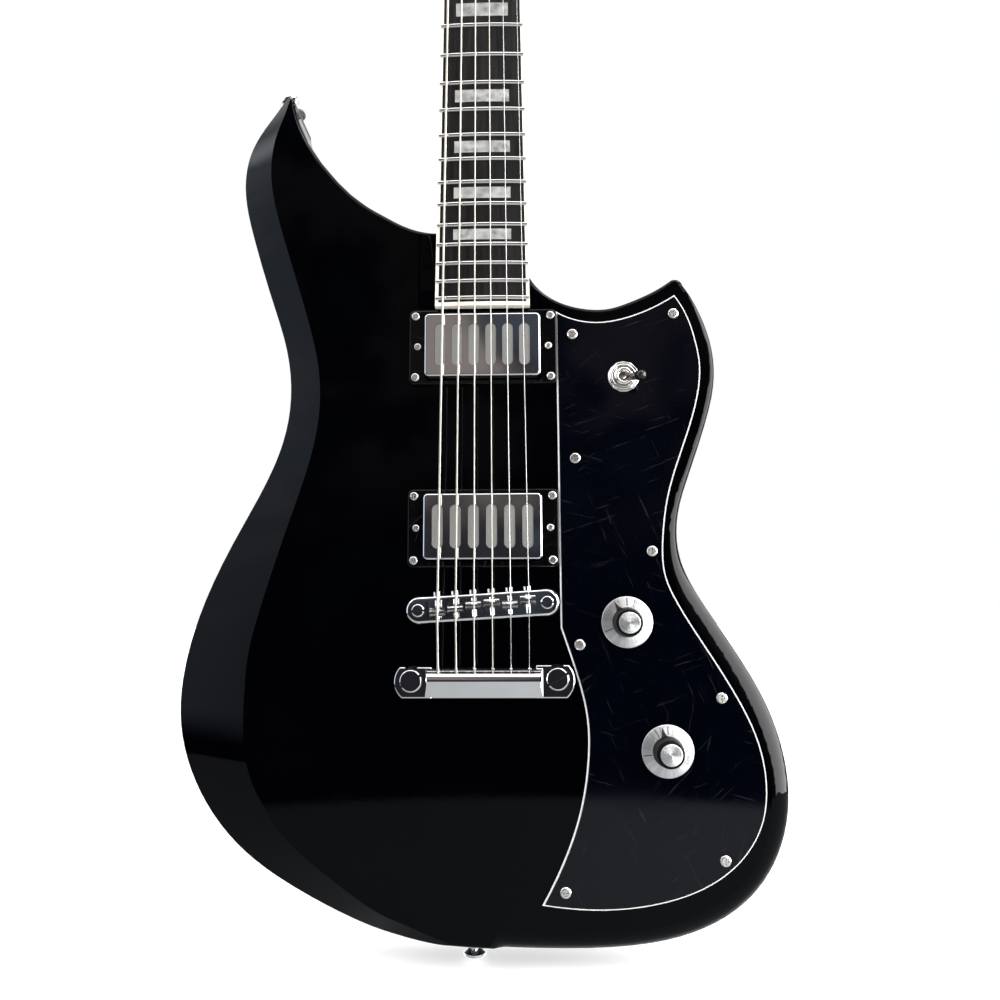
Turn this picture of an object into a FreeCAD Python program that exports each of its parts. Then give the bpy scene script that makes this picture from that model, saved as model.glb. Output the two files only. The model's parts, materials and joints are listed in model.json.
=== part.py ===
import FreeCAD, Part

import math
import os

# Electric guitar, upright, in millimetres.
# Origin: back face of the body, on the centre line, at the nominal bridge line.
# +Z runs up the neck, -Y out of the front face, +X to the treble side.
# Heights h are measured outwards from the front face of the body.

# ---------------------------------------------------------------- driving dimensions
SCALE = 711.2
FRET_COUNT = 24
BODY_T = 45.0
TOP_ROUND = 2.6
BACK_ROUND = 5.0

BOARD_END_Z = 173.0
BOARD_BOTTOM_H = 6.6
BOARD_TOP_H = 12.6
BOARD_RADIUS = 355.0
HALF_AT_END = 28.5
HALF_AT_NUT = 21.0
BINDING_T = 2.0
FRET_H = 1.05
FRET_W = 2.6
FRET_TANG_W = 0.6
FRET_TANG_D = 1.6
INLAY_T = 1.2
NUT_T = 5.0

TENON_DEPTH = 22.0
TENON_START_Z = 174.0
TENON_END_Z = 232.0
NECK_D_HEEL = 17.0
NECK_D_NUT = 14.0
NECK_BOXY = 9.0
NECK_OVAL = 2.4
TRUSS_R = 2.9
TRUSS_NUT_R = 3.0
TRUSS_DROP = 6.0

HEAD_TILT = 12.0
HEAD_T = 15.0
VENEER_T = 1.5
HEAD_LENGTH = 168.0
COVER_PLATE_T = 2.0
COVER_SCREWS = ((-6.6, 6.2), (6.6, 6.2), (0.0, 33.0))
COVER_SCREW_R = 0.9
TAB_SCREW_R = 1.0
TUNER_S = (38.0, 78.0, 118.0)
TUNER_X = (21.0, 21.5, 22.0)
POST_R = 3.0
KEY_SHAFT_R = 2.2
WORM_DROP = 8.0

STRING_H_BRIDGE = 17.0
STRING_H_NUT = 14.1
STRING_SHIFT = 0.5
STRING_PITCH = 10.4
NUT_PITCH = 7.0
STRING_R = (0.66, 0.53, 0.41, 0.31, 0.20, 0.15)
WRAP_LEVEL = 8.6
WRAP_TURNS = 3
WRAP_GAP = 0.35
BALL_R = 1.6
BALL_L = 2.2

BRIDGE_Z = -5.9
BRIDGE_TILT = 3.4
BRIDGE_HALF_SPAN = 37.0
BRIDGE_L = 88.0
BRIDGE_W = 15.2
BRIDGE_H0 = 5.0
BRIDGE_H1 = 13.2
CHANNEL_HALF_L = 32.4
CHANNEL_W = 10.4
SADDLE_OFFSETS = (-1.5, -0.2, 1.0, 1.6, 0.0, 2.0)
SADDLE_W = 8.6
SADDLE_RIB = 1.1
SADDLE_T = 5.0
SADDLE_SCREW_R = 1.3
SADDLE_TRAVEL = 2.3
SADDLE_GAP = 0.15

TAIL_Z = -47.2
TAIL_STUDS = ((-1, -40.7, -47.6), (1, 42.4, -46.6))
TAIL_H0 = 5.5
TAIL_H1 = 17.0
TAIL_BAR_X0 = -33.0
TAIL_BAR_X1 = 34.2
TAIL_LOW_Z = -57.2
TAIL_HIGH_Z = -40.2
TAIL_SPLIT_Z = -50.2
TAIL_KNEE_H = 5.2
TAIL_END_LEAN = 15.0
EAR_ROUND = 0.9
EAR_T = 5.0
EAR_REACH = 9.9
BALL_SEAT = 2.2

RING_L = 89.6
RING_W = 46.4
RING_H = 4.2
COVER_L = 69.2
COVER_W = 38.6
COVER_TOP_H = 12.5
COVER_DEPTH = 17.0
COVER_WALL = 0.6
HEIGHT_SCREW_X = 39.6
SLOT_W = 6.6
SLOT_LENGTH = 25.9
SLOT_PITCH = (10.05, 10.5)
PICKUP_Z = (149.0, 40.2)
RING_Z = (150.2, 39.9)
PICKUP_FOOT_H = -12.5
PICKUP_FOOT_T = 1.4

GUARD_BASE_T = 0.9
GUARD_CORE_T = 0.6
GUARD_TOP_T = 0.9
GUARD_BASE_INSET = -0.9
GUARD_CORE_INSET = -0.4
GUARD_TOP_INSET = 0.5
GUARD_T = GUARD_BASE_T + GUARD_CORE_T + GUARD_TOP_T

KNOBS = {"volume": (83.0, -15.2), "tone": (104.2, -87.4)}
SKIRT_R = 14.8
KNOB_R = 8.8
CAP_R = 6.1
POT_SHAFT_R = 3.0
SWITCH_X = 84.6
SWITCH_Z = 130.8
LEVER_LEAN = 25.0
LEVER_HEADING = -21.7
PIN_HALF_L = 3.15

JACK_Z = -116.0
JACK_BORE_R = 3.25
FELT_T = 1.5
FRONT = FreeCAD.Vector(0, -1, 0)
UP = FreeCAD.Vector(0, 0, 1)
RIGHT = FreeCAD.Vector(1, 0, 0)


# ---------------------------------------------------------------- placing helpers
def at(x, z, h):
    """Point at x, z and height h out of the body's front face."""
    return FreeCAD.Vector(x, -(BODY_T + h), z)


HEAD_PIVOT = at(0, SCALE + NUT_T, BOARD_BOTTOM_H)


def tilted(shape):
    """Turn a shape drawn on the neck's plane back onto the angled headstock."""
    turned = shape.copy()
    turned.rotate(HEAD_PIVOT, RIGHT, -HEAD_TILT)
    return turned


def head_point(x, s, t):
    """Point on the headstock: s along it from the nut, t out of its face."""
    angle = math.radians(HEAD_TILT)
    y = HEAD_PIVOT.y + s * math.sin(angle) - t * math.cos(angle)
    z = HEAD_PIVOT.z + s * math.cos(angle) + t * math.sin(angle)
    return FreeCAD.Vector(x, y, z)


def bridge_frame_point(along, across, h):
    """Point on the bridge: along its length and across it, at height h."""
    angle = math.radians(BRIDGE_TILT)
    x = along * math.cos(angle) - across * math.sin(angle)
    z = BRIDGE_Z + along * math.sin(angle) + across * math.cos(angle)
    return at(x, z, h)


def on_bridge(shape):
    """Turn a shape drawn square at the bridge's centre to the bridge's slant."""
    turned = shape.copy()
    turned.rotate(at(0, BRIDGE_Z, 0), FRONT, BRIDGE_TILT)
    return turned


def post(x, z, h0, h1, r):
    return Part.makeCylinder(r, h1 - h0, at(x, z, h0), FRONT)


def rod(start, end, r):
    run = end - start
    return Part.makeCylinder(r, run.Length, start, run)


def block(x0, x1, z0, z1, h0, h1):
    return Part.makeBox(x1 - x0, h1 - h0, z1 - z0, at(x0, z0, h1))


def fuse(*shapes):
    return shapes[0].multiFuse(list(shapes[1:])).removeSplitter()


def arc(a, b, c):
    return Part.Arc(a, b, c).toShape()


def line(a, b):
    return Part.makeLine(a, b)


def smooth(points):
    curve = Part.BSplineCurve()
    curve.interpolate(points)
    return curve.toShape()


def slab(edges, h0, h1):
    """Solid between two heights under a closed outline drawn at height 0."""
    face = Part.Face(Part.Wire(Part.__sortEdges__(edges)))
    face.translate(FRONT * h0)
    return face.extrude(FRONT * (h1 - h0))


def stadium(x, z, length, width, h0, h1):
    """Bar with round ends, its length along x."""
    half = (length - width) / 2
    bar = block(x - half, x + half, z - width / 2, z + width / 2, h0, h1)
    ends = [post(x + side * half, z, h0, h1, width / 2) for side in (-1, 1)]
    return fuse(bar, *ends)


def rounded_block(x, z, length, width, h0, h1, radius):
    box = block(x - length / 2, x + length / 2, z - width / 2, z + width / 2, h0, h1)
    upright = [e for e in box.Edges if abs(e.Vertexes[0].Z - e.Vertexes[1].Z) < 1e-6
               and abs(e.Vertexes[0].X - e.Vertexes[1].X) < 1e-6]
    return box.makeFillet(radius, upright)


def round_top(shape, radius):
    """Round the edges that lie on a shape's outermost plane."""
    front = shape.BoundBox.YMin
    edges = [e for e in shape.Edges if e.BoundBox.YMax < front + 1e-4]
    return shape.makeFillet(radius, edges)


def save(name, *solids):
    for solid in solids:
        if not solid.isValid():
            print("not valid:", name)
    shape = solids[0] if len(solids) == 1 else Part.makeCompound(list(solids))
    shape.exportStep("parts/" + name + ".step")
    print(name, len(shape.Solids), round(shape.Volume))


def screw(x, z, head_h, head_r, head_t, length, shank_r):
    """Cross-head screw with a domed head resting at head_h."""
    head = post(x, z, head_h, head_h + head_t, head_r)
    head = round_top(head, head_t * 0.7)
    shank = post(x, z, head_h - length, head_h, shank_r)
    reach = head_r * 0.55
    arm = head_r * 0.11
    top = head_h + head_t
    across = block(x - reach, x + reach, z - arm, z + arm, top - head_t * 0.6, top + 1)
    upright = block(x - arm, x + arm, z - reach, z + reach, top - head_t * 0.6, top + 1)
    return fuse(head, shank).cut(across).cut(upright)


# ---------------------------------------------------------------- body
BASS_POINTS = ((-130, 317), (-142, 304.6), (-150.3, 289.4), (-154.5, 268), (-147.3, 228),
               (-134.7, 187.5), (-123, 148), (-122, 109.5), (-133.8, 71.8), (-152.8, 34.8),
               (-169.3, -1.6), (-179.5, -37.4), (-181.5, -72.6), (-171.3, -107.2),
               (-147, -141), (-107.3, -168.8), (-63.5, -187.4), (-22, -194.4), (4, -196),
               (28, -196.7), (79, -195.5), (121.2, -186.8), (150, -169.5), (167.6, -144.5), (174.3, -116),
               (172, -88), (163, -60.5), (147, -31.8), (128.2, -2.7), (116.9, 20.5),
               (115.4, 46), (123, 72), (133.7, 102.7), (140.2, 133.8), (135, 165.5),
               (122.8, 189))
CUTAWAY_POINTS = ((115.5, 192.6), (103.8, 185.3), (91.4, 179.7), (76, 175), (60.7, 175.5),
                  (48.4, 179), (36.5, 186.3), (28.6, 196))
HORN_POINTS = ((-27.5, 225.4), (-42.2, 227.6), (-60, 235.8), (-80.3, 249.4), (-96, 265.4),
               (-111, 286.5), (-120.6, 312.4))
# Bass-side bevel: crease x, z on the front face, then edge x, z and its depth.
BASS_BEVEL = ((-115, 335, -133, 333, 10), (-123.8, 315, -134.5, 317.5, 11),
              (-128.3, 301, -142.5, 305, 12), (-132.6, 287, -151, 289, 12),
              (-134.2, 267, -154.4, 267, 12), (-129.6, 239.5, -149.8, 234.5, 12),
              (-114.5, 190.5, -133.8, 184.5, 12), (-103.2, 151, -122.9, 147.5, 12),
              (-99.5, 121, -121.2, 121, 12), (-102.3, 93, -124.6, 96.5, 12),
              (-111, 61, -135.4, 69, 12), (-123.6, 22, -154.6, 31.4, 12),
              (-131.6, -5, -166.6, 5, 12), (-137.6, -29, -176, -22, 12),
              (-139.9, -58, -181.8, -57, 12), (-138.9, -86, -178.2, -90, 12),
              (-132.6, -108, -165, -119, 12), (-119, -130, -141, -147, 12),
              (-97, -151, -110, -167.5, 12), (-69, -171, -76.5, -183.6, 11),
              (-47, -181.9, -51.5, -190, 7), (-36, -186.4, -39, -192.2, 4.5),
              (-22, -191.8, -23.5, -195, 2.4), (-8, -199, -9, -202, 2.2))
EDGE_BEVEL_START = (2.0, -195.9)
EDGE_BEVEL_END = (122.8, 189.0)
EDGE_BEVEL_STEP = 16.0
EDGE_BEVEL_FIRST_SLOPE = 9.0
# The bevel's first stretch: distance along the edge and share of its full width.
EDGE_BEVEL_RISE = ((0.0, -0.15), (2.2, 0.38), (4.8, 0.76), (8.5, 0.97), (13.0, 1.0))
# Point on the outline, then the rounded bevel's width and depth there.
EDGE_BEVEL_SIZES = ((2, -195.9, 9.4, 5.5), (79, -195.5, 9.4, 5.5), (150, -169.5, 10.0, 6.0),
                    (174.3, -116, 11.5, 6.5), (163, -60.5, 13.0, 7.0), (128.2, -2.7, 12.0, 6.5),
                    (116.9, 20.5, 7.5, 5.0), (115.4, 46, 4.6, 3.6), (133.7, 102.7, 4.0, 3.4),
                    (135, 165.5, 3.4, 3.0), (122.8, 189, 2.2, 2.2))


def outline_edges():
    outer = smooth([at(x, z, 0) for x, z in BASS_POINTS])
    cutaway = smooth([at(x, z, 0) for x, z in CUTAWAY_POINTS])
    horn = smooth([at(x, z, 0) for x, z in HORN_POINTS])
    treble_tip = arc(at(122.8, 189, 0), at(119.8, 192.7, 0), at(115.5, 192.6, 0))
    bass_tip = arc(at(-120.6, 312.4, 0), at(-124.4, 318.6, 0), at(-130, 317, 0))
    under_neck = line(at(28.6, 196, 0), at(-27.5, 225.4, 0))
    return [outer, treble_tip, cutaway, under_neck, horn, bass_tip]


def bevel_section(crease, edge, depth):
    """Triangle above the sloping facet, drawn past the crease and past the edge."""
    run = edge - crease
    slope = FreeCAD.Vector(run.x, depth, run.z)
    start = crease - slope * (3.0 / run.Length)
    end = edge + FreeCAD.Vector(0, depth, 0) + slope * (5.0 / run.Length)
    corner = FreeCAD.Vector(end.x, start.y - 4.0, end.z)
    return Part.makePolygon([start, end, corner, start])


def bass_bevel():
    sections = []
    for cx, cz, ex, ez, depth in BASS_BEVEL:
        sections.append(bevel_section(at(cx, cz, 0), at(ex, ez, 0), depth))
    return Part.makeLoft(sections, True, False)


def round_section(crease, outward, width, depth):
    """Space above a round shoulder that leaves the front face at a slight slope."""
    chord = math.hypot(width, depth)
    lean = math.atan2(depth, width)
    first = math.radians(EDGE_BEVEL_FIRST_SLOPE)
    radius = chord / (2 * math.sin(lean - first))

    def on_arc(slope):
        along = radius * (math.sin(slope) - math.sin(first))
        down = radius * (math.cos(first) - math.cos(slope))
        return crease + outward * along - FRONT * down

    start = on_arc(first * 0.3)
    end = on_arc(2 * lean - first + math.radians(8.0))
    corner = FreeCAD.Vector(end.x, start.y - 4.0, end.z)
    shoulder = arc(start, on_arc(lean), end)
    return Part.Wire([shoulder, line(end, corner), line(corner, start)])


def edge_bevel(outer):
    """Round shoulder from the bottom round the treble side to the horn, wide then narrow."""
    curve = outer.Curve
    first = curve.parameter(at(*EDGE_BEVEL_START, 0))
    last = curve.parameter(at(*EDGE_BEVEL_END, 0))
    length = curve.length(first, last)
    sizes = []
    for x, z, width, depth in EDGE_BEVEL_SIZES:
        place = curve.parameter(at(x, z, 0))
        sizes.append((curve.length(first, place) if place > first else 0.0, width, depth))

    def size_at(distance):
        for (d0, w0, t0), (d1, w1, t1) in zip(sizes, sizes[1:]):
            if distance <= d1:
                break
        share = min(1.0, max(0.0, (distance - d0) / (d1 - d0)))
        share = share * share * (3 - 2 * share)
        return w0 + (w1 - w0) * share, t0 + (t1 - t0) * share

    stations = list(EDGE_BEVEL_RISE)
    start = stations[-1][0]
    count = round((length - start) / EDGE_BEVEL_STEP)
    for i in range(1, count + 1):
        stations.append((start + (length - start) * i / count, 1.0))
    sections = []
    for distance, share in stations:
        u = curve.parameterAtDistance(distance, first)
        point = curve.value(u)
        tangent = curve.tangent(u)[0]
        outward = FreeCAD.Vector(tangent.z, 0, -tangent.x)
        width, depth = size_at(distance)
        crease = point - outward * (width * share)
        sections.append(round_section(crease, outward, width, depth))
    return Part.makeLoft(sections, True, False)


def control_cavity():
    """Rout under the pickguard for the pots, the switch and the jack."""
    vx, vz = KNOBS["volume"]
    tx, tz = KNOBS["tone"]
    floor = -38.0
    lobes = [post(vx, vz, floor, 1, 17.0), post(tx, tz, floor, 1, 23.0)]
    lobes.append(post(SWITCH_X - 2, SWITCH_Z, floor, 1, 15.0))
    lobes.append(post(133, JACK_Z + 4, floor, 1, 14.0))
    lobes.append(block(vx - 11, vx + 7, vz, SWITCH_Z, floor, 1))
    link = block(-14, 14, 0, math.hypot(tx - vx, tz - vz), floor, 1)
    link.rotate(at(0, 0, 0), FRONT, math.degrees(math.atan2(tx - vx, vz - tz)) + 180)
    link.translate(FreeCAD.Vector(vx, 0, vz))
    lobes.append(link)
    lobes.append(block(tx, 133, JACK_Z - 10, JACK_Z + 18, floor, 1))
    return fuse(*lobes)


def make_body(tenon):
    edges = outline_edges()
    solid = slab(edges, -BODY_T, 0)
    top = [e for e in solid.Edges if e.BoundBox.YMax < -BODY_T + 0.01]
    solid = solid.makeFillet(TOP_ROUND, top)
    back = [e for e in solid.Edges if e.BoundBox.YMin > -0.01]
    solid = solid.makeFillet(BACK_ROUND, back)
    solid = solid.cut(bass_bevel()).cut(edge_bevel(edges[0]))
    solid = solid.cut(tenon)
    for z, ring_z in zip(PICKUP_Z, RING_Z):
        solid = solid.cut(rounded_block(0, z, 72, 41, -20, 1, 5))
        for side in (-1, 1):
            solid = solid.cut(rounded_block(side * 39, ring_z, 13, 16, -20, 1, 3))
    solid = solid.cut(control_cavity())
    for side, stud_x, stud_z in TAIL_STUDS:
        solid = solid.cut(post(stud_x, stud_z, -24, 1, 5.8))
        place = bridge_frame_point(side * BRIDGE_HALF_SPAN, 0, 0)
        solid = solid.cut(post(place.x, place.z, -20, 1, 4.0))
    solid = solid.cut(Part.makeCylinder(11.0, 60, at(130, JACK_Z, -24), RIGHT))
    solid = solid.cut(Part.makeCylinder(14.2, 20, at(172.4, JACK_Z, -24), RIGHT))
    for z in PICKUP_Z:
        solid = solid.cut(rod(at(30, z, -14), at(80, z - 20, -14), 3.5))
    return solid


# ---------------------------------------------------------------- neck and fretboard
def half_width(z):
    share = (z - BOARD_END_Z) / (SCALE - BOARD_END_Z)
    return HALF_AT_END + (HALF_AT_NUT - HALF_AT_END) * share


def neck_section(z, half, top_h, depth, power):
    """Flat-topped section whose back is a superellipse: round at 2, square when large."""
    points = []
    steps = 16
    for i in range(steps + 1):
        angle = math.pi * i / steps
        c = math.cos(angle)
        s = math.sin(angle)
        x = half * math.copysign(abs(c) ** (2.0 / power), c)
        drop = depth * abs(s) ** (2.0 / power)
        points.append(at(x, z, top_h - drop))
    return Part.Wire([smooth(points), line(points[-1], points[0])])


def head_outline():
    """Flared headstock with a shallow dip between two rounded top corners."""
    def p(x, s):
        return at(x, SCALE + NUT_T + s, BOARD_BOTTOM_H)
    length = HEAD_LENGTH
    right = smooth([p(29, 30), p(36, 46), p(36.5, 70), p(33.5, 110), p(34, length - 14)])
    left = smooth([p(-29, 30), p(-36, 46), p(-36.5, 70), p(-33.5, 110), p(-34, length - 14)])
    corner = arc(p(34, length - 14), p(30.5, length - 3), p(20, length))
    other = arc(p(-34, length - 14), p(-30.5, length - 3), p(-20, length))
    dip = arc(p(20, length), p(0, length - 5), p(-20, length))
    foot = line(p(29, 30), p(-29, 30))
    return [right, corner, dip, other, left, foot]


def veneer_outline():
    def p(x, s):
        return at(x, SCALE + NUT_T + s, BOARD_BOTTOM_H)
    edges = head_outline()[:5]
    right = smooth([p(21.2, 0), p(22.4, 14), p(29, 30)])
    left = smooth([p(-21.2, 0), p(-22.4, 14), p(-29, 30)])
    return edges + [right, left, line(p(21.2, 0), p(-21.2, 0))]


def neck_blank():
    nut_end = SCALE + NUT_T
    block_low = neck_section(TENON_START_Z, half_width(TENON_START_Z), BOARD_BOTTOM_H,
                             TENON_DEPTH, NECK_BOXY)
    half_top = half_width(TENON_END_Z)
    block_high = neck_section(TENON_END_Z, half_top, BOARD_BOTTOM_H, TENON_DEPTH, NECK_BOXY)
    tenon = Part.makeLoft([block_low, block_high], True, True)
    heel = [block_high]
    for share, power in ((0.25, 7.0), (0.5, 4.5), (0.75, 3.0), (1.0, NECK_OVAL)):
        z = TENON_END_Z + 62 * share
        ease = 0.5 - 0.5 * math.cos(math.pi * share)
        depth = TENON_DEPTH + (NECK_D_HEEL - TENON_DEPTH) * ease
        heel.append(neck_section(z, half_width(z), BOARD_BOTTOM_H, depth, power))
    heel_solid = Part.makeLoft(heel, True, False)
    nut_section = neck_section(nut_end, half_width(nut_end), BOARD_BOTTOM_H, NECK_D_NUT, NECK_OVAL)
    shaft = Part.makeLoft([heel[-1], nut_section], True, True)
    return tenon, heel_solid, shaft


def headstock_wood():
    """Flare from the neck's end section to the headstock's full width, then its plate."""
    nut_end = SCALE + NUT_T
    low_top = BOARD_BOTTOM_H - VENEER_T
    start = neck_section(nut_end, half_width(nut_end), BOARD_BOTTOM_H, NECK_D_NUT, NECK_OVAL)
    sections = [start]
    for s, half, depth, power in ((12, 22.0, HEAD_T + 0.5, 4.0), (22, 25.4, HEAD_T, 9.0),
                                  (34, 30.5, HEAD_T, 12.0)):
        sections.append(tilted(neck_section(nut_end + s, half, low_top, depth, power)))
    flare = Part.makeLoft(sections, True)
    above = block(-60, 60, nut_end - 20, nut_end + 60, low_top, low_top + 30)
    behind = block(-60, 60, nut_end + 15, nut_end + 60, low_top - HEAD_T - 30, low_top - HEAD_T)
    plate = slab(head_outline(), -VENEER_T - HEAD_T, -VENEER_T)
    return flare.cut(tilted(above)).cut(tilted(behind)), tilted(plate)


def board_solid(half_offset, z0):
    """Tapered board with a cylindrical top, inset from its full width."""
    low = half_width(z0) - half_offset
    high = HALF_AT_NUT - half_offset
    plan = Part.makePolygon([at(-low, z0, BOARD_BOTTOM_H), at(low, z0, BOARD_BOTTOM_H),
                             at(high, SCALE, BOARD_BOTTOM_H), at(-high, SCALE, BOARD_BOTTOM_H),
                             at(-low, z0, BOARD_BOTTOM_H)])
    solid = Part.Face(plan).extrude(FRONT * 8)
    axis = at(0, z0 - 50, BOARD_TOP_H - BOARD_RADIUS)
    return solid.common(Part.makeCylinder(BOARD_RADIUS, SCALE + 100, axis, UP))


def fret_z(n):
    return SCALE / 2 ** (n / 12.0)


def arc_bar(z, r0, r1, width, half):
    """Bar of even thickness that follows the board's radius across the strings."""
    axis = at(0, 0, BOARD_TOP_H - BOARD_RADIUS)
    centre = FreeCAD.Vector(axis.x, axis.y, z)
    sweep = 2 * math.degrees(math.asin(half / BOARD_RADIUS))
    profile = [centre + FreeCAD.Vector(0, -r0, -width / 2),
               centre + FreeCAD.Vector(0, -r1, -width / 2),
               centre + FreeCAD.Vector(0, -r1, width / 2),
               centre + FreeCAD.Vector(0, -r0, width / 2)]
    face = Part.Face(Part.makePolygon(profile + profile[:1]))
    face.rotate(centre, UP, -sweep / 2)
    return face.revolve(centre, UP, sweep)


def fret(n):
    """Fret with a domed crown and a tang pressed into its slot."""
    z = fret_z(n)
    half = half_width(z) - 0.5
    axis = at(0, 0, BOARD_TOP_H - BOARD_RADIUS)
    centre = FreeCAD.Vector(axis.x, axis.y, z)
    sweep = 2 * math.degrees(math.asin(half / BOARD_RADIUS))
    left = centre + FreeCAD.Vector(0, -BOARD_RADIUS, -FRET_W / 2)
    right = centre + FreeCAD.Vector(0, -BOARD_RADIUS, FRET_W / 2)
    crest = centre + FreeCAD.Vector(0, -BOARD_RADIUS - FRET_H, 0)
    face = Part.Face(Part.Wire([arc(left, crest, right), line(right, left)]))
    face.rotate(centre, UP, -sweep / 2)
    crown = face.revolve(centre, UP, sweep)
    tang = arc_bar(z, BOARD_RADIUS - FRET_TANG_D, BOARD_RADIUS + 0.2, FRET_TANG_W,
                   half - BINDING_T - 0.3)
    return fuse(crown, tang)


def inlay_boxes():
    """Blocks before the marked frets, centred between a pair of frets."""
    boxes = []
    for n in (1, 3, 5, 7, 9, 12, 15, 17, 19, 21):
        middle = (fret_z(n) + fret_z(n - 1)) / 2
        tall = 3.6 + 0.25 * (fret_z(n - 1) - fret_z(n))
        wide = 0.63 * half_width(middle)
        boxes.append(block(-wide, wide, middle - tall / 2, middle + tall / 2,
                           BOARD_TOP_H - INLAY_T - 0.7, BOARD_TOP_H + 1))
    return boxes


def make_neck_group():
    tenon, heel, shaft = neck_blank()
    flare, plate = headstock_wood()
    neck = fuse(tenon, heel, shaft, flare, plate)
    channel = block(-3, 3, BOARD_END_Z + 20, SCALE + 2, BOARD_BOTTOM_H - TRUSS_DROP - 3.2,
                    BOARD_BOTTOM_H + 1)
    pocket = tilted(block(-4.5, 4.5, SCALE - 2, SCALE + NUT_T + 26, BOARD_BOTTOM_H - 10.5,
                          BOARD_BOTTOM_H + 1))
    neck = neck.cut(channel).cut(pocket)
    veneer = tilted(slab(veneer_outline(), -VENEER_T, 0)).cut(pocket)
    for side in (-1, 1):
        for x, s in zip(TUNER_X, TUNER_S):
            hole = tilted(post(side * x, SCALE + NUT_T + s, BOARD_BOTTOM_H - 25,
                               BOARD_BOTTOM_H + 5, 4.6))
            neck = neck.cut(hole)
            veneer = veneer.cut(hole)
    shanks = Part.makeCompound([tilted(shape) for shape in screw_shanks()])
    save("neck", neck.cut(shanks))
    save("headstock_veneer", veneer.cut(shanks))

    full = board_solid(0, BOARD_END_Z)
    core = board_solid(BINDING_T, BOARD_END_Z + 2.3)
    binding = full.cut(core)
    boxes = inlay_boxes()
    inlays = [core.common(box) for box in boxes]
    frets = [fret(n) for n in range(1, FRET_COUNT + 1)]
    core = core.cut(Part.makeCompound(boxes))
    core = core.cut(Part.makeCompound(frets))
    save("fretboard", core)
    save("fretboard_binding", binding)
    save("block_inlays", *inlays)
    save("frets", *frets)

    nut = block(-HALF_AT_NUT, HALF_AT_NUT, SCALE, SCALE + NUT_T - 0.2, BOARD_BOTTOM_H,
                BOARD_TOP_H + 2.2)
    top = [e for e in nut.Edges if e.BoundBox.YMax < nut.BoundBox.YMin + 0.01]
    nut = nut.makeFillet(1.2, top)
    for i in range(6):
        x = string_x_nut(i)
        nut = nut.cut(block(x - STRING_R[i], x + STRING_R[i], SCALE - 1, SCALE + NUT_T + 1,
                            STRING_H_NUT - STRING_R[i] - 0.4, STRING_H_NUT + 3))
    save("nut", nut)

    rod_h = BOARD_BOTTOM_H - TRUSS_DROP
    nut_foot = SCALE + NUT_T + 1
    truss = rod(at(0, BOARD_END_Z + 22, rod_h), at(0, nut_foot, rod_h), TRUSS_R)
    hex_nut = rod(at(0, nut_foot, rod_h), at(0, nut_foot + 10, rod_h), TRUSS_NUT_R)
    save("truss_rod", fuse(truss, hex_nut))

    s0 = SCALE + NUT_T
    sides = [at(-9, s0 + 3, 0), at(9, s0 + 3, 0), at(6.5, s0 + 34, 0), at(-6.5, s0 + 34, 0)]
    tip = arc(sides[2], at(0, s0 + 39, 0), sides[3])
    edges = [line(sides[0], sides[1]), line(sides[1], sides[2]), tip, line(sides[3], sides[0])]
    cover = round_top(slab(edges, BOARD_BOTTOM_H, BOARD_BOTTOM_H + COVER_PLATE_T), 0.8)
    save("truss_rod_cover", tilted(cover).cut(shanks))
    return tenon


# ---------------------------------------------------------------- tuners
def string_x_bridge(i):
    return STRING_SHIFT + (i - 2.5) * STRING_PITCH


def string_x_nut(i):
    return STRING_SHIFT * 0.6 + (i - 2.5) * NUT_PITCH


def tuner_places():
    """Side, x and distance along the headstock, in string order from the bass side."""
    bass = [(-1, TUNER_X[k], TUNER_S[k]) for k in range(3)]
    treble = [(1, TUNER_X[k], TUNER_S[k]) for k in (2, 1, 0)]
    return bass + treble


def tab_place(side, x, s):
    """Middle of the screwed tab beyond a tuner housing."""
    return side * (x - 1.0), SCALE + NUT_T + s - 18.8


def screw_shanks():
    """Holes, drawn on the neck's plane, for the truss cover's and the tuners' screws."""
    back = BOARD_BOTTOM_H - VENEER_T - HEAD_T
    shanks = [post(x, SCALE + NUT_T + s, BOARD_BOTTOM_H - 5, BOARD_BOTTOM_H + 3, COVER_SCREW_R)
              for x, s in COVER_SCREWS]
    for side, x, s in tuner_places():
        x, z = tab_place(side, x, s)
        shanks.append(post(x, z, back - 1, back + 8, TAB_SCREW_R))
    return shanks


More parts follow.
